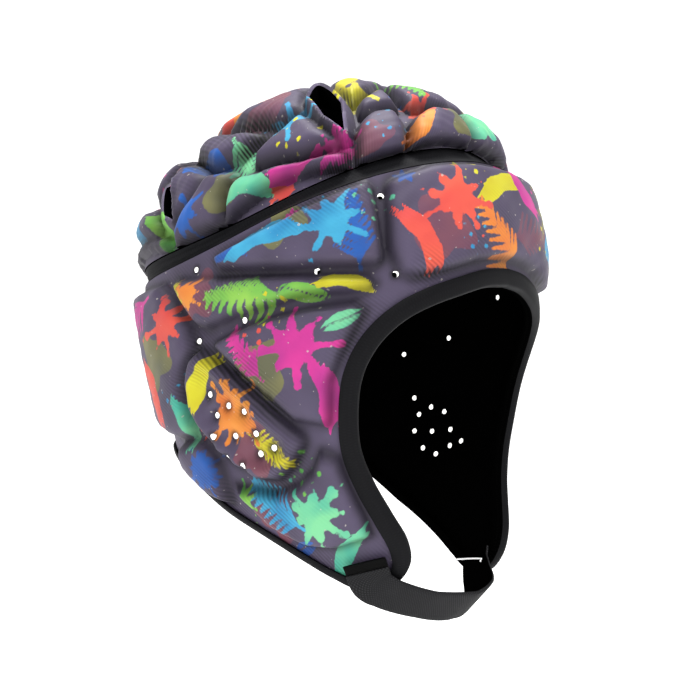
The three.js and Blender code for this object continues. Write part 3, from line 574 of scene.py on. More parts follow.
BODY_PRINT = {
    "maroon": [("pool", 38, 46, 15, 0), ("pool", 144, 21, 13, 0), ("pool", 116, -46, 13, 0),
               ("pool", 112, -76, 14, 0)],
    "olive": [("pool", 100, 50, 13, 0), ("pool", 108, -12, 15, 0), ("pool", 176, -6, 15, 0)],
    "blue": [("star", 51, 69, 4.5, 20), ("frond", 70, 46, 17, 75), ("stroke", 126, 38, 13, -10),
             ("leaf", 97, -89, 11, -28), ("splat", 151, -55, 10, 20), ("stroke", 229, -28, 18, -20)],
    "cyan": [("spatter", 24, 44, 9, 0), ("splat", 79, 49, 12, 15), ("stroke", 108, 43, 21, -16),
             ("frond", 109, -69, 19, 20), ("spatter", 160, -24, 12, 0)],
    "mint": [("spatter", 65, 58, 9, 20), ("leaf", 75, 8, 9, -30), ("splat", 86, -73, 13, 0),
             ("stroke", 72, -93, 18, -62), ("stroke", 160, -34, 14, 70), ("star", 206, -30, 6, 0)],
    "lime": [("frond", 118, 19, 22, -8), ("leaf", 90, 20, 11, 10), ("spatter", 93, -56, 10, 0),
             ("splat", 127, -68, 7, 30), ("splat", 220, -6, 12, 10)],
    "yellow": [("stroke", 7, 67, 17, -25), ("spatter", 22, 74, 10, 40), ("stroke", 74, 23, 12, 6),
               ("spatter", 102, 15, 10, 60), ("stroke", 144, -17, 16, -55), ("frond", 108, -46, 14, 200),
               ("leaf", 157, 22, 9, 70)],
    "orange": [("frond", 10, 46, 20, 40), ("splat", 150, 22, 8, 0), ("splat", 127, -30, 15, 5),
               ("stroke", 240, 14, 18, 30)],
    "coral": [("splat", 31, 60, 13, 20), ("stroke", 47, 42, 16, 62), ("spatter", 110, 0, 11, 24),
              ("star", 149, -39, 4, 0), ("splat", 166, 10, 12, 0), ("stroke", 184, -20, 19, 66)],
    "pink": [("star", 97, 54, 4, 0), ("splat", 93, -3, 14, 30), ("stroke", 82, -23, 16, 80),
             ("frond", 117, -5, 16, 40), ("frond", 196, 14, 19, -40)],
}
body_rows = rows_of(BODY_PRINT)
body_ink = print_fields(body_plan, body_rows + other_side(body_rows, lambda x, y: (-x - 6, y + 3)))
print("inks on the body:", {ink: int((d < 0).sum()) for ink, d in body_ink.items()})

# %% [markdown]
# ## Materials
# The outside is a polyester knit, sublimation printed and bonded to foam: matt, with a fine mesh that
# darkens its colours. Shade is painted into it along the valleys and round the holes, and a highlight
# on the vents' lips. One small function adds a node; every material is then written out as the list of
# its own nodes.


# %% Node helper and colours
def linear(code):
    """sRGB hex to linear: below 0.04045 a straight part, above it a power of 2.4."""
    c = np.array([int(code[k:k + 2], 16) for k in (1, 3, 5)]) / 255
    return (*np.where(c <= 0.04045, c / 12.92, ((c + 0.055) / 1.055) ** 2.4), 1.0)


def node(tree, kind, inputs=None, **settings):
    """Adds a node with its settings; an input that is given a socket is linked, any other is set."""
    made = tree.nodes.new(kind)
    for key, value in settings.items():
        setattr(made, key, value)
    for key, value in (inputs or {}).items():
        if isinstance(value, bpy.types.NodeSocket):
            tree.links.new(value, made.inputs[key])
        else:
            made.inputs[key].default_value = value
    return made


def new_material(name):
    """An empty node tree with an output, and its principled shader."""
    material = bpy.data.materials.new(name)
    material.use_nodes = True
    tree = material.node_tree
    tree.nodes.clear()
    shader = node(tree, "ShaderNodeBsdfPrincipled")
    node(tree, "ShaderNodeOutputMaterial", {"Surface": shader.outputs[0]})
    return material, tree, shader


# %% Printed polyester knit
MESH_MM = 1.5  # real loops are about 0.6 mm; drawn coarser, or they would not show
RAGGED_MM = 0.9  # an ink's edge strays by about one loop
BLOTCH_MM, GRAIN_MM, MIST_MM, WORN_MM = 22, 1.6, 1.8, 40
WAVE_TURN = 2 * math.pi / 20  # one band of the wave texture at scale 1


def printed_knit():
    """Sublimation-printed polyester knit on foam: matt and dark, with inks whose edges the loops fray."""
    material, tree, shader = new_material("printed_polyester_knit_moulded")
    uv = node(tree, "ShaderNodeUVMap", uv_map="cloth").outputs[0]
    cloud, grain, mist, worn = (
        node(tree, "ShaderNodeTexNoise", {"Vector": uv, "Scale": 1 / (size * MM), "Detail": detail})
        for size, detail in ((BLOTCH_MM, 2.0), (GRAIN_MM, 1.0), (MIST_MM, 0.0), (WORN_MM, 1.0)))
    fray = node(tree, "ShaderNodeMapRange", {0: grain.outputs[0], 3: -RAGGED_MM / 2, 4: RAGGED_MM / 2})
    tint = node(tree, "ShaderNodeMapRange", {0: cloud.outputs[0], 1: 0.35, 2: 0.65})
    colour = node(tree, "ShaderNodeMix", {0: tint.outputs[0], 6: linear("#4f465d"), 7: linear("#5a506a")},
                  data_type="RGBA").outputs[2]
    for ink, (light, dark, most) in INKS.items():
        edge = node(tree, "ShaderNodeAttribute", attribute_name="ink_" + ink)
        frayed = node(tree, "ShaderNodeMath", {0: edge.outputs["Fac"], 1: fray.outputs[0]})
        cover = node(tree, "ShaderNodeMapRange", {0: frayed.outputs[0], 1: 0.2, 2: -0.2, 3: 0.0, 4: most})
        tone = node(tree, "ShaderNodeMix", {0: tint.outputs[0], 6: linear(dark), 7: linear(light)},
                    data_type="RGBA")
        colour = node(tree, "ShaderNodeMix", {0: cover.outputs[0], 6: colour, 7: tone.outputs[2]},
                      data_type="RGBA").outputs[2]
    specks = node(tree, "ShaderNodeMapRange", {0: mist.outputs[0], 1: 0.8, 2: 0.82, 3: 0.0, 4: 0.6})
    colour = node(tree, "ShaderNodeMix", {0: specks.outputs[0], 6: colour, 7: linear("#cfc8c0")},
                  data_type="RGBA").outputs[2]
    slant = node(tree, "ShaderNodeMapping", {"Vector": uv, "Rotation": (0, 0, math.radians(52))})
    lines = node(tree, "ShaderNodeTexWave", {"Vector": slant.outputs[0], "Scale": WAVE_TURN / (MESH_MM * MM),
                                             "Distortion": 0.4})
    where = node(tree, "ShaderNodeMapRange", {0: worn.outputs[0], 1: 0.5, 2: 0.65, 3: 0.0, 4: 0.2})
    fleck = node(tree, "ShaderNodeMath", {0: lines.outputs["Fac"], 1: where.outputs[0]}, operation="MULTIPLY")
    painted_shade_and_highlight = node(tree, "ShaderNodeAttribute", attribute_name="painted_shade_and_highlight")
    # painted shade and highlight: 0.95 on the vents' lips, about a half on open cloth, a tenth in the valleys
    shade = node(tree, "ShaderNodeMapRange", {0: painted_shade_and_highlight.outputs["Fac"], 1: -1.0, 2: 1.0, 3: 0.95, 4: 0.1})
    dim = node(tree, "ShaderNodeMath", {0: shade.outputs[0], 1: fleck.outputs[0]}, operation="SUBTRACT",
               use_clamp=True)
    grey = node(tree, "ShaderNodeCombineColor", {0: dim.outputs[0], 1: dim.outputs[0], 2: dim.outputs[0]})
    final = node(tree, "ShaderNodeMix", {0: 1.0, 6: colour, 7: grey.outputs[0]}, data_type="RGBA",
                 blend_type="MULTIPLY")
    bump = node(tree, "ShaderNodeBump",
                {"Height": lines.outputs["Fac"], "Strength": 0.04, "Distance": 0.0003})
    for key, value in (("Base Color", final.outputs[2]), ("Normal", bump.outputs[0])):
        tree.links.new(value, shader.inputs[key])
    for key, value in (("Roughness", 0.6), ("Sheen Weight", 0.05), ("Sheen Roughness", 0.4),
                       ("Specular IOR Level", 0.2)):
        shader.inputs[key].default_value = value
    return material


# %% [markdown]
# Lining, tapes, webbing and thread are polyester too, of one colour each. They could have a tree of nodes
# each, but they differ only in tone, in the pitch of their weave and in gloss, so one function with
# those as its arguments makes them all. The foam shows in the punched holes and glows: painted light.


# %% Plain cloth and foam
def plain_cloth(name, dark, light, pitch_mm, roughness, gloss, strength):
    """Dyed cloth: two near tones in a fine diamond grain of the given pitch, which is bumped as well."""
    material, tree, shader = new_material(name)
    uv = node(tree, "ShaderNodeUVMap", uv_map="cloth").outputs[0]
    ribs = []
    for slant in (38, -38):
        turned = node(tree, "ShaderNodeMapping", {"Vector": uv, "Rotation": (0, 0, math.radians(slant))})
        ribs.append(node(tree, "ShaderNodeTexWave", {"Vector": turned.outputs[0], "Distortion": 1.2,
                                                     "Scale": WAVE_TURN / (pitch_mm * MM)}).outputs["Fac"])
    grain = node(tree, "ShaderNodeMath", {0: ribs[0], 1: ribs[1]}, operation="MULTIPLY").outputs[0]
    colour = node(tree, "ShaderNodeMix", {0: grain, 6: linear(dark), 7: linear(light)}, data_type="RGBA")
    bump = node(tree, "ShaderNodeBump", {"Height": grain, "Strength": strength, "Distance": 0.0004})
    for key, value in (("Base Color", colour.outputs[2]), ("Normal", bump.outputs[0])):
        tree.links.new(value, shader.inputs[key])
    shader.inputs["Roughness"].default_value = roughness
    shader.inputs["Specular IOR Level"].default_value = gloss
    return material


def foam():
    """Closed-cell polyethylene foam, cut by a punch: white with fine cells, and glowing a little: painted
    light.
    """
    material, tree, shader = new_material("closed_cell_foam_painted_glow")
    place = node(tree, "ShaderNodeTexCoord").outputs["Object"]
    cells = node(tree, "ShaderNodeTexNoise", {"Vector": place, "Scale": 1 / 0.0008, "Detail": 2.0})
    colour = node(tree, "ShaderNodeMix", {0: cells.outputs[0], 6: linear("#dcdad6"), 7: linear("#ffffff")},
                  data_type="RGBA")
    tree.links.new(colour.outputs[2], shader.inputs["Base Color"])
    # painted light: the foam glows in its own colour, so the holes read as white dots
    tree.links.new(colour.outputs[2], shader.inputs["Emission Color"])
    shader.inputs["Emission Strength"].default_value = 0.55
    shader.inputs["Roughness"].default_value = 0.8
    return material


KNIT = printed_knit()
# an open mesh over dark foam, which swallows nearly all light; the same near-black paints the shade on the
# tape's inner leg and the strap's chin side
LINING_AND_PAINTED_SHADE = plain_cloth("black_mesh_lining_and_painted_shade", "#010101", "#040404", 1.2, 1.0, 0.0, 0.1)
GLOWING_FOAM = foam()
print("materials:", [m.name for m in bpy.data.materials])

# %% [markdown]
# ## The body
# Outer skin, lining and the walls of the holes are one closed mesh with three materials: the foam shows
# only where a punch cut it.


# %% Body piece
def shell_piece(name, outer, inner, quads, tris, foam_rims, fields, uv):
    """Outer faces, the same faces reversed on the inside, and a wall from each free edge."""
    count = len(outer)
    walls = free_edges(quads, tris) if len(tris) else free_edges(quads)
    wall = np.stack([walls[:, 1], walls[:, 0], walls[:, 0] + count, walls[:, 1] + count], -1)
    cut = foam_rims[walls].all(1)
    points = np.concatenate([outer, inner])
    sets = [quads, quads[:, ::-1] + count, wall] + ([tris, tris[:, ::-1] + count] if len(tris) else [])
    slots = [0, 1, np.where(cut, 2, 1)] + ([0, 1] if len(tris) else [])
    double = {key: np.concatenate([value, value]) for key, value in fields.items()}
    piece = mesh_piece(name, points, outward(points, sets), slots, double, np.concatenate([uv, uv]))
    for material in (KNIT, LINING_AND_PAINTED_SHADE, GLOWING_FOAM):
        piece.data.materials.append(material)
    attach(piece, "root")
    return piece


HOLE_SHADE = 1.2
fields = {"ink_" + ink: d for ink, d in body_ink.items()}
rims = np.min([np.linalg.norm(from_hole(body_places, h)[0], axis=1) for h in all_holes], 0) - HOLE_RADIUS
# painted shade: dark along the valleys at the pads' feet, and a dark ring in each hole's dimple
valley_shade = soften(valley_shade_bell(pad_depth, FOOT_WIDTH), body_faces, 2)
fields["painted_shade_and_highlight"] = np.maximum(valley_shade, np.exp(-(rims / HOLE_SHADE) ** 2))
outer, inner = (body_point(*body_places.T, lift) for lift in (body_lift, 0.0))
no_tris = np.zeros((0, 3), int)
body = shell_piece("body_padding", outer, inner, body_faces, no_tris, hole_rims, fields, body_plan)
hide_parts("body_shell")

# %% [markdown]
# ## The crown
# The crown is a second laminate of smaller cells over a net of creases. It is drawn on a flat disc, turn
# and reach being its polar coordinates, and bent up into a dome. Four leaf-shaped vents are cut through
# it, each with a lip where the fabric stands up.

# %% Dome
RIM_RISE, CROWN_SPAN = 9, 105
INSET_FRONT, INSET_BACK = 14, -1
DOME_FRONT, DOME_BACK = 1.76, 1.82
SECTORS, RINGS = 372, 74


def front_to_back(front, back, turn):
    """A cosine from one value at the front to another at the back."""
    return (front + back) / 2 + (front - back) / 2 * np.cos(np.radians(turn))


def crown_form(turn, reach):
    """A superellipse from the apex out and down to a rim that stands above and inside the seam."""
    seam, a = seam_height(turn), np.radians(turn)
    r = form_radius(turn, seam) - front_to_back(INSET_FRONT, INSET_BACK, turn)
    power = 2 / front_to_back(DOME_FRONT, DOME_BACK, turn)
    out = np.sin(reach * math.pi / 2) ** power
    up = np.maximum(np.cos(reach * math.pi / 2), 0) ** power
    x, y = lerp(APEX[0], -r * np.sin(a), out), lerp(APEX[1], -r * np.cos(a), out)
    return np.stack([x, y, lerp(seam + RIM_RISE, APEX[2], up)], -1)


def crown_point(turn, reach, lift):
    """The dome plus lift times its normal, which points straight up at the apex."""
    turn, reach, lift = np.broadcast_arrays(turn, reach, np.asarray(lift, float))
    near = np.clip(reach, 0.03, 0.985)
    normal = unit_normal(lambda a, b: crown_form(a, -b), turn, -near, 0.1, 0.01)
    normal = np.where(reach[..., None] == 0, [0.0, 0.0, 1.0], normal)
    return crown_form(turn, reach) + normal * lift[..., None]


def to_plan(turn, reach):
    """Turn and reach as a place on the flat disc, in mm."""
    way = np.stack([np.sin(np.radians(turn)), np.cos(np.radians(turn))], -1)
    return way * (np.asarray(reach) * CROWN_SPAN)[..., None]


turns, reaches = np.meshgrid(np.arange(SECTORS) * 360 / SECTORS, np.linspace(0, 1, RINGS + 1)[1:])
crown_plan = np.concatenate([to_plan(turns, reaches).reshape(-1, 2), [[0.0, 0.0]]])
ring_ids = np.arange(RINGS * SECTORS).reshape(RINGS, SECTORS)
ring_ids = np.concatenate([ring_ids, ring_ids[:, :1]], 1)
crown_quads = grid_faces(ring_ids)
apex_id = RINGS * SECTORS
crown_tris = np.stack([ring_ids[0, 1:], ring_ids[0, :-1], np.full(SECTORS, apex_id)], -1)
print("crown places:", len(crown_plan))

# %% [markdown]
# Each cell of the crown swells as a pad does, only rounder, and the net of creases is what they leave
# free. Sculpting could do it cell by cell; outlines on the disc keep both halves alike.

# %% Cells and vents
CREASE, CELL_LIFT = 3.5, 9
CELL_STEEP, CELL_CREST, CELL_FOOT = 0.45, 14, 2.9  # smaller cells, puffed rounder than the body's pads
VENTS = [
    [(76, 0.24), (70, 0.46), (60, 0.66), (52.5, 0.8), (53, 0.6), (62, 0.38)],
    [(139, 0.7), (128, 0.84), (121.5, 0.88), (128, 0.72)],
]
CELLS = [
    [(2, 0.99), (2, 0.7), (20, 0.72), (28, 0.8), (31, 0.99)],
    [(33.5, 0.99), (31, 0.82), (33, 0.71), (41, 0.68), (48, 0.76), (49, 0.99)],
    [(53, 0.99), (53, 0.9), (68, 0.86), (84, 0.82), (93, 0.8), (97, 0.84), (98, 0.99)],
    [(100, 0.99), (100, 0.87), (98.5, 0.8), (99, 0.76), (110, 0.73), (115, 0.82), (120, 0.92), (120, 0.99)],
    [(124, 0.99), (125, 0.95), (134, 0.925), (150, 0.92), (160, 0.93), (160, 0.99)],
    [(180, 0.74), (163, 0.76), (164, 0.99), (180, 0.99)],
    [(131, 0.9), (136, 0.8), (146, 0.77), (158, 0.78), (160, 0.89), (146, 0.9)],
    [(88, 0.77), (89, 0.73), (80, 0.64), (71, 0.56), (61, 0.71), (55, 0.83), (68, 0.82)],
    [(120, 0.88), (113, 0.8), (112, 0.73), (131, 0.62), (138, 0.65), (124, 0.8)],
    [(140, 0.68), (140, 0.58), (158, 0.55), (159, 0.73), (146, 0.73)],
    [(110, 0.7), (99, 0.68), (91, 0.6), (110, 0.53), (134, 0.5), (130, 0.59)],
    [(86, 0.55), (73, 0.51), (82, 0.3), (105, 0.22), (124, 0.29), (132, 0.42), (110, 0.46)],
    [(46, 0.67), (30, 0.66), (28.5, 0.45), (33, 0.47), (46, 0.58)],
    [(0, 0.66), (24, 0.66), (25, 0.4), (18, 0.365), (0, 0.345)],
    [(0, 0.3), (22, 0.33), (34, 0.42), (48, 0.54), (58, 0.36), (72, 0.17), (0, 0)],
    [(0, 0), (105, 0.18), (126, 0.27), (143, 0.42), (162, 0.47), (164, 0.7), (180, 0.7)],
]
LIP_RISES, LIP_AT, LIP_WIDTH = (6.5, 3.0), 1.0, 2.2
LIP_STEP, LIP_SHARE, LIP_LIGHT = 2, 0.55, 0.9


def disc_outline(rows):
    """A table's corners on the flat disc, carried on to the other half where they end on its middle line."""
    turn, reach = np.array(rows, float).T
    return whole_outline(to_plan(turn, reach), (0,))


def open_vents(plan, quads):
    """Leaves out faces inside each vent and draws the places round the gap onto its outline."""
    for outline in map(disc_outline, VENTS):
        for hand in (1, -1):
            leaf = outline * [hand, 1]
            inside = signed_depth(plan[quads].mean(1), leaf) > 0
            near = np.intersect1d(quads[inside], quads[~inside])
            quads = quads[~inside]
            on_sides = to_sides(plan[near], leaf)
            best = np.linalg.norm(on_sides - plan[near, None], axis=-1).argmin(1)
            plan[near] = on_sides[np.arange(len(near)), best]
    return quads


crown_quads = open_vents(crown_plan, crown_quads)
folded = np.abs(crown_plan * [1, 0]) + crown_plan * [0, 1]
cell_depth = np.max([signed_depth(folded, disc_outline(c)) for c in CELLS], 0)
cell_lift = CELL_LIFT * soften(cushion(cell_depth, CELL_STEEP, CELL_CREST), crown_quads)
outside = np.array([np.abs(signed_depth(folded, disc_outline(v))) for v in VENTS])
lips = [rise * np.exp(-((away - LIP_AT) / LIP_WIDTH) ** 2) for rise, away in zip(LIP_RISES, outside)]
lip = np.max(lips, 0)
crown_lift = CREASE + np.maximum(cell_lift, LIP_SHARE * cell_lift + lip + LIP_STEP) * (cell_lift + lip > 0.5)
crown_lift = crown_lift + unevenness(crown_plan * 1.3) * cell_lift / CELL_LIFT
print("crown skin up to", round(float(crown_lift.max()), 2), "mm")

# %% Crown piece
CROWN_PRINT = {
    "maroon": [("pool", 44, -8, 15, 0), ("pool", 64, 66, 12, 0)],
    "olive": [("pool", 8, 88, 14, 0), ("pool", 88, -14, 12, 0)],
    "blue": [("stroke", 68, -28, 18, 50), ("splat", 86, -38, 11, 0), ("star", 30, 54, 5, 0)],
    "cyan": [("splat", 60, 14, 13, 0), ("stroke", 46, -78, 18, 20), ("spatter", 54, 68, 12, 0)],
    "mint": [("stroke", 94, 4, 18, 84), ("frond", 78, -6, 18, 20), ("splat", 6, -90, 11, 0)],
    "lime": [("stroke", 74, -60, 17, 10), ("frond", 12, 46, 18, 70)],
    "yellow": [("splat", 37, 36, 13, 0), ("stroke", 20, 18, 18, 30), ("spatter", 72, 26, 12, 0)],
    "orange": [("stroke", 40, 79, 19, 20), ("splat", 18, -28, 13, 0)],
    "coral": [("splat", 23, 68, 11, 0), ("stroke", 38, -40, 19, -30), ("splat", 97, 24, 9, 0)],
    "pink": [("splat", 76, 52, 12, 20), ("stroke", 86, 30, 17, -60), ("splat", 18, -66, 12, 0),
             ("spatter", 50, -54, 12, 0)],
}
crown_rows = rows_of(CROWN_PRINT)
crown_ink = print_fields(crown_plan, crown_rows + other_side(crown_rows, lambda x, y: (-x - 4, y - 3)))
fields = {"ink_" + ink: d for ink, d in crown_ink.items()}
# painted shade along the creases between cells, less a painted highlight along the vents' lips
valley_shade = soften(valley_shade_bell(cell_depth, CELL_FOOT), crown_quads)
fields["painted_shade_and_highlight"] = valley_shade - np.exp(-(outside.min(0) / LIP_LIGHT) ** 2)
crown_turn = np.degrees(np.arctan2(crown_plan[:, 0], crown_plan[:, 1]))
crown_reach = np.linalg.norm(crown_plan, axis=1) / CROWN_SPAN
no_foam = np.zeros(len(crown_plan), bool)
outer, inner = (crown_point(crown_turn, crown_reach, lift) for lift in (crown_lift, 0.0))
crown = shell_piece("crown_padding", outer, inner, crown_quads, crown_tris, no_foam, fields, crown_plan)
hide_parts("crown")

# %% [markdown]
# ## Band, tape and strap
# These are strips: a cross-section carried along a line. Blender's curve bevel does that too, but it
# can't lean the section to follow a shell. Here the section's points are computed at every station at
# once, as a table of stations by points.


# %% Strip helper
def strip_piece(name, rings, closed, materials, node_name=None, shaded_strips=()):
    """A tube from a table of section points; an open one gets flat ends. The map runs along and round it.

    The strips of faces whose numbers round the section are given in the last argument get the second
    material, a near-black one that paints shade on them.
    """
    count, size = rings.shape[:2]
    ids = np.arange(count * size).reshape(count, size)
    ids = np.concatenate([ids, ids[:, :1]], 1)
    sets = [grid_faces(np.concatenate([ids, ids[:1]]) if closed else ids)]
    if not closed:
        sets += [ids[:1, size - 1::-1][:, :size], ids[-1:, :size]]
    along = np.concatenate([[0], np.cumsum(np.linalg.norm(np.diff(rings.mean(1), axis=0), axis=1))])
    around = np.concatenate([[0], np.cumsum(np.linalg.norm(np.diff(rings.mean(0), axis=0), axis=1))])
    uv = np.stack(np.broadcast_arrays(along[:, None], around[None]), -1).reshape(-1, 2)
    points = rings.reshape(-1, 3)
    slots = [np.isin(np.arange(len(sets[0])) % size, shaded_strips)] + [0] * (len(sets) - 1)
    piece = mesh_piece(name, points, outward(points, sets), slots, uv=uv)
    for material in materials:
        piece.data.materials.append(material)
    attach(piece, "root")
    if node_name:
        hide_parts(node_name)


# %% Crown band
BAND_STATIONS, BAND_THICK, BAND_SINK = 320, 2.2, 1.5
BAND_LIFT, SEAM_GAP = 0.8, 0.45
FOLD_RISE, FOLD_AT, FOLD_WIDTH = 0.7, 0.62, 0.14
# soft and dull, with a faint grain
STRETCH = plain_cloth("black_stretch_knit", "#0e0e10", "#17171a", 1.3, 0.7, 0.06, 0.1)


def band_rings():
    """From the body's seam up to the crown's rim, drawn in along the middle, with a fold above it."""
    turn = np.arange(BAND_STATIONS) * 360 / BAND_STATIONS
    way = np.linspace(0, 1, 9)
    sink = FOLD_RISE * np.exp(-((way - FOLD_AT) / FOLD_WIDTH) ** 2) - BAND_SINK * np.sin(math.pi * way)
    seam = seam_height(turn)
    up = np.array([0, 0, SEAM_GAP])
    out = unit_normal(form_point, turn, seam, 0.1, 0.1)

    def skin(lift):
        foot, head = body_point(turn, seam, lift) + up, crown_point(turn, np.ones_like(turn), lift) - up
        return lerp(foot[:, None], head[:, None], way[:, None]) + out[:, None] * sink[:, None]

    return np.concatenate([skin(BAND_LIFT), skin(BAND_LIFT + BAND_THICK)[:, ::-1]], 1)


strip_piece("crown_band_cloth", band_rings(), True, [STRETCH], "crown_band")

# %% [markdown]
# The binding is a tape folded over the raw edge and sewn through. Its section is a U that is carried
# along the edge, with a rounded fold and rounded free edges, so light catches it as it does on cloth.

# %% Edge binding
TAPE_THICK, TAPE_IN, TAPE_GAP, TAPE_DRAW = 1.25, 1.35, 0.35, 0.78
# tightly woven: an even black that hardly shines along its fold
TAPE = plain_cloth("black_woven_binding_tape", "#0a0a0c", "#0f0f11", 1.0, 0.55, 0.06, 0.04)
INNER_LEG = (0, 1, 2, 3, 22, 23, 24, 25, 26)  # strips of the tape that face the head, given the near-black lining as painted shade


def tape_line():
    """The whole edge: places, tape widths, and the way in from the edge as turn and height per mm."""
    line = both_sides(edge_line)
    step = np.roll(line, -1, 0) - np.roll(line, 1, 0)
    arc = np.radians(form_radius(line[:, 0], line[:, 1]))
    along = np.stack([((step[:, 0] + 540) % 360 - 180) * arc, step[:, 1]], -1)
    along /= np.linalg.norm(along, axis=1, keepdims=True)
    return line, np.stack([-along[:, 1] / arc, along[:, 0]], -1)


def on_tape(line, inward, way, lift):
    """Points at a way in from the edge and a lift off the form, for each station and section point."""
    place = line[:, None, :2] + inward[:, None] * way[..., None]
    return body_point(place[..., 0], place[..., 1], np.broadcast_to(lift, way.shape))


def tape_rings(line, inward):
    """A tape folded round the edge, its legs drawn in by the seam: a rounded fold and rounded free edges."""
    top, under = FLAT + TAPE_GAP, -TAPE_IN
    leg = TAPE_DRAW * line[:, 2:]
    a = np.linspace(-90, 90, 9) * math.pi / 180
    middle, half = (top + under) / 2, (top - under) / 2
    fold_out = np.stack([-TAPE_GAP - TAPE_THICK * np.cos(a), middle + (half + TAPE_THICK) * np.sin(a)])
    fold_in = np.stack([-TAPE_GAP + 0 * a, middle + half * np.sin(a)])[:, ::-1]
    free = np.array([0.0, 0.35, 0.35, 0.0])
    over = np.array([TAPE_THICK, 0.8 * TAPE_THICK, 0.2 * TAPE_THICK, 0])
    ones = np.ones((len(line), 1))
    way = np.concatenate([fold_out[0] * ones, leg * 0.5, leg + free, fold_in[0] * ones, leg + free], 1)
    lift = np.concatenate([fold_out[1], [top + TAPE_THICK + 0.1], top + over, fold_in[1], under - over[::-1]])
    return on_tape(line, inward, way, lift)


line, inward = tape_line()
# the tape's inner leg takes the near-black second material as painted shade
strip_piece("edge_binding_tape", tape_rings(line, inward), True, [TAPE, LINING_AND_PAINTED_SHADE],
            "edge_binding", INNER_LEG)

# %% [markdown]
# The chin strap is flat webbing. Cloth simulation would hang it, but its line is known from the jaws it
# joins, so a table gives its middle and its lean, and a flat section with round selvedges follows them.

# %% Chin strap
STRAP_WIDTH, STRAP_THICK, STRAP_STATIONS = 20, 2, 180
# a coarse weave whose raised threads look charcoal; the cut end is melted smooth and darker
WEBBING = plain_cloth("charcoal_polyester_webbing_woven", "#121213", "#29292b", 0.95, 0.8, 0.08, 0.3)
TAB = plain_cloth("heat_cut_webbing_end", "#030303", "#060606", 1.2, 0.5, 0.03, 0.05)
CHIN_SIDE = tuple(range(7))  # strips of the strap that face the chin, given the near-black lining as painted shade
STRAP_ROWS = np.array([
    (44, -97.5, 7, 0), (41.8, -103, 7, 0), (37, -107.5, 5.8, 12), (22, -116, 0, 28), (2, -119, -4, 38),
    (-13, -116.5, -4.5, 28), (-27, -112, -5.2, 10), (-34.5, -106.5, -5.2, 0), (-38, -101.5, -5.2, 0),
])


def strap_frames(where):
    """Middle, heading, width and face directions; the width leans about the heading as the table says."""
    turn, height, lift, lean = STRAP_ROWS.T
    line = body_point(turn, height, lift)
    middle = spline(line, where)
    ahead = spline(line, where + 0.01) - spline(line, where - 0.01)
    ahead /= np.linalg.norm(ahead, axis=1, keepdims=True)
    rows = np.arange(len(STRAP_ROWS))
    at = [np.interp(where, rows, column) for column in (turn, height, np.radians(lean))]
    wide = np.cross(unit_normal(form_point, at[0], at[1], 0.1, 0.1), ahead)
    wide /= np.linalg.norm(wide, axis=1, keepdims=True)
    c, s = np.cos(at[2])[:, None], np.sin(at[2])[:, None]
    wide = wide * c + np.cross(ahead, wide) * s
    return middle, ahead, wide, np.cross(ahead, wide)


def webbing_rings(frames, width, thick, rise):
    """A flat section with round selvedges, a little thinner there."""
    middle, ahead, wide, face = frames
    w = np.array([-0.5, -0.48, -0.4, -0.15, 0.15, 0.4, 0.48, 0.5])
    h = np.array([-0.25, -0.42, -0.5, -0.5, -0.5, -0.5, -0.42, -0.25])
    across, off = np.concatenate([w, -w]) * width, np.concatenate([h, -h]) * thick + rise
    return middle[:, None] + wide[:, None] * across[:, None] + face[:, None] * off[:, None]


strap_where = np.linspace(0, len(STRAP_ROWS) - 1, STRAP_STATIONS)
strap_rings = webbing_rings(strap_frames(strap_where), STRAP_WIDTH, STRAP_THICK, 0)
# the strap's chin side takes the near-black second material as painted shade
strip_piece("chin_strap_webbing", strap_rings, False, [WEBBING, LINING_AND_PAINTED_SHADE], "chin_strap", CHIN_SIDE)

# %% Cut end of the strap
TAB_FROM, TAB_TO, TAB_THICK, TAB_RISE = -4.4, -0.4, 1.4, -0.5
middle, ahead, wide, face = strap_frames(np.zeros(1))
tab_way = np.linspace(TAB_FROM, TAB_TO, 8)[:, None]
tab_frames = (middle + ahead * tab_way, ahead + 0 * tab_way, wide + 0 * tab_way, face + 0 * tab_way)
tab_rings = webbing_rings(tab_frames, STRAP_WIDTH, TAB_THICK, TAB_RISE)
strip_piece("strap_end_tab", tab_rings, False, [TAB], "strap_tab")

# %% [markdown]
# The strap's hidden end is sewn to the inside of the left jaw with one row of white bar tacks. Stitch by
# stitch would be too fine to see, so the row is a single round cord with its ends turned in.

# %% Bar tack
TACK_ENDS, TACK_HEIGHTS = (-48, -27), (-105.8, -102.6)
TACK_LIFT, TACK_TURN, TACK_RADIUS, TURNED = -6.7, 1.6, 0.4, 0.2
# bright white, a little glossy
THREAD = plain_cloth("white_polyester_thread_twisted", "#e4e4e4", "#ffffff", 0.8, 0.6, 0.3, 0.1)


def tack_rings(count=61, sides=10):
    """Circles about a level line on the strap's chin side, whose last twelfth at either end turns down."""
    way = np.linspace(-1 - TURNED, 1 + TURNED, count)
    share = (np.clip(way, -1, 1) + 1) / 2
    turn = lerp(*TACK_ENDS, share)
    height = lerp(*TACK_HEIGHTS, share) - np.maximum(np.abs(way) - 1, 0) / TURNED * TACK_TURN
    line = body_point(turn, height, TACK_LIFT)
    ahead = np.gradient(line, axis=0)
    ahead /= np.linalg.norm(ahead, axis=1, keepdims=True)
    out = unit_normal(form_point, turn, height, 0.1, 0.1)
    a = np.linspace(0, 2 * math.pi, sides + 1)[:-1, None]
    side = np.cross(ahead, out)
    return line[:, None] + TACK_RADIUS * (np.cos(a) * out[:, None] + np.sin(a) * side[:, None])


strip_piece("bar_tack_thread", tack_rings(), False, [THREAD])

# %% [markdown]
# ## Stage, light and camera
# A product shot on white: a pale bowl of a floor that curves up behind, big soft lights and a camera at
# the height of the jaw, turned to the wearer's front right.

# %% Stage
FLOOR_Z, BOWL_RADIUS = -0.36, 6.0


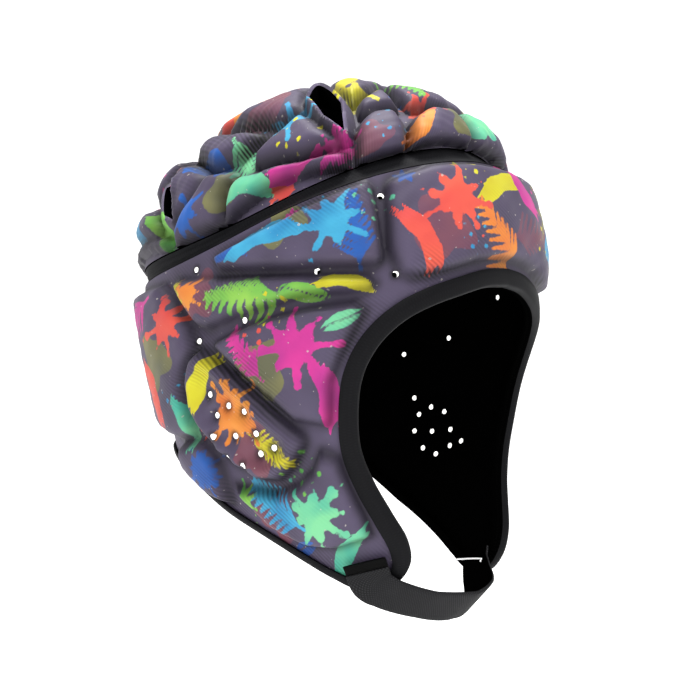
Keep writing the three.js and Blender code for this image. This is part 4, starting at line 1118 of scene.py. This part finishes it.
def bowl():
    """A floor of revolution: flat in the middle, then rising with the square of the distance."""
    r, a = np.meshgrid(np.linspace(0, 1, 40)[1:], np.linspace(0, 2 * math.pi, 97)[:-1], indexing="ij")
    z = FLOOR_Z + BOWL_RADIUS * 0.75 * np.maximum(r - 0.2, 0) ** 2
    points = np.stack([r * BOWL_RADIUS * np.cos(a), r * BOWL_RADIUS * np.sin(a), z], -1).reshape(-1, 3)
    points = np.concatenate([points, [[0, 0, FLOOR_Z]]])
    ids = np.arange(len(points) - 1).reshape(r.shape)
    ids = np.concatenate([ids, ids[:, :1]], 1)
    mesh = bpy.data.meshes.new("floor")
    fan = [(len(points) - 1, int(p), int(q)) for p, q in zip(ids[0, :-1], ids[0, 1:])]
    mesh.from_pydata(points.tolist(), [], fan + grid_faces(ids.T).tolist())
    mesh.shade_smooth()
    return bpy.data.objects.new("floor", mesh)


floor = bowl()
bpy.context.scene.collection.objects.link(floor)
floor_paint, tree, shader = new_material("pale_studio_paint")
place = node(tree, "ShaderNodeTexCoord").outputs["Object"]
mottle = node(tree, "ShaderNodeTexNoise", {"Vector": place, "Scale": 3.0})
tint = node(tree, "ShaderNodeMix", {0: mottle.outputs[0], 6: linear("#f6f6f6"), 7: linear("#fafafa")},
            data_type="RGBA")
tree.links.new(tint.outputs[2], shader.inputs["Base Color"])
tree.links.new(tint.outputs[2], shader.inputs["Emission Color"])
shader.inputs["Emission Strength"].default_value = 0.6
shader.inputs["Roughness"].default_value = 0.9
floor.data.materials.append(floor_paint)

# %% [markdown]
# Four discs of light stand in for soft boxes: one high in front, one overhead, and two weak ones that
# lift the shadows. The camera's lens and distance come from fitting the solids to the picture's outline.

# %% Light and camera
world = bpy.data.worlds.new("studio")
bpy.context.scene.world = world
world.use_nodes = True
world.node_tree.nodes["Background"].inputs[0].default_value = (1, 1, 1, 1)
world.node_tree.nodes["Background"].inputs[1].default_value = 0.45
CENTRE = np.array([0.0, -0.008, -0.121])


def soft_light(name, place, size, power):
    """An area light that faces the helmet."""
    data = bpy.data.lights.new(name, "AREA")
    data.shape, data.size, data.energy = "DISK", size, power
    lamp = bpy.data.objects.new(name, data)
    bpy.context.scene.collection.objects.link(lamp)
    lamp.location = place
    lamp.rotation_euler = (Vector(CENTRE) - lamp.location).to_track_quat("-Z", "Y").to_euler()


for light in (("key", (-0.6, -0.8, 1.1), 0.6, 18), ("fill", (-1.4, 0.3, 0.1), 1.0, 3),
              ("top", (0.0, 0.0, 1.3), 0.7, 38), ("front", (0.7, -1.4, 0.2), 1.0, 3)):
    soft_light(*light)
FOCAL_PX, FRAME_PX, DISTANCE = 1299, 700, 0.640
TURN, RISE = math.radians(52), math.radians(-3)
back = np.array([-math.sin(TURN) * math.cos(RISE), -math.cos(TURN) * math.cos(RISE), math.sin(RISE)])
lens = bpy.data.cameras.new("photo_view")
lens.sensor_width = 36.0
lens.lens = FOCAL_PX / FRAME_PX * lens.sensor_width
camera = bpy.data.objects.new("photo_view", lens)
bpy.context.scene.collection.objects.link(camera)
camera.location = CENTRE + back * DISTANCE
camera.rotation_euler = Vector(-back).to_track_quat("-Z", "Y").to_euler()
bpy.context.scene.camera = camera
bpy.context.scene.view_settings.view_transform = "Standard"
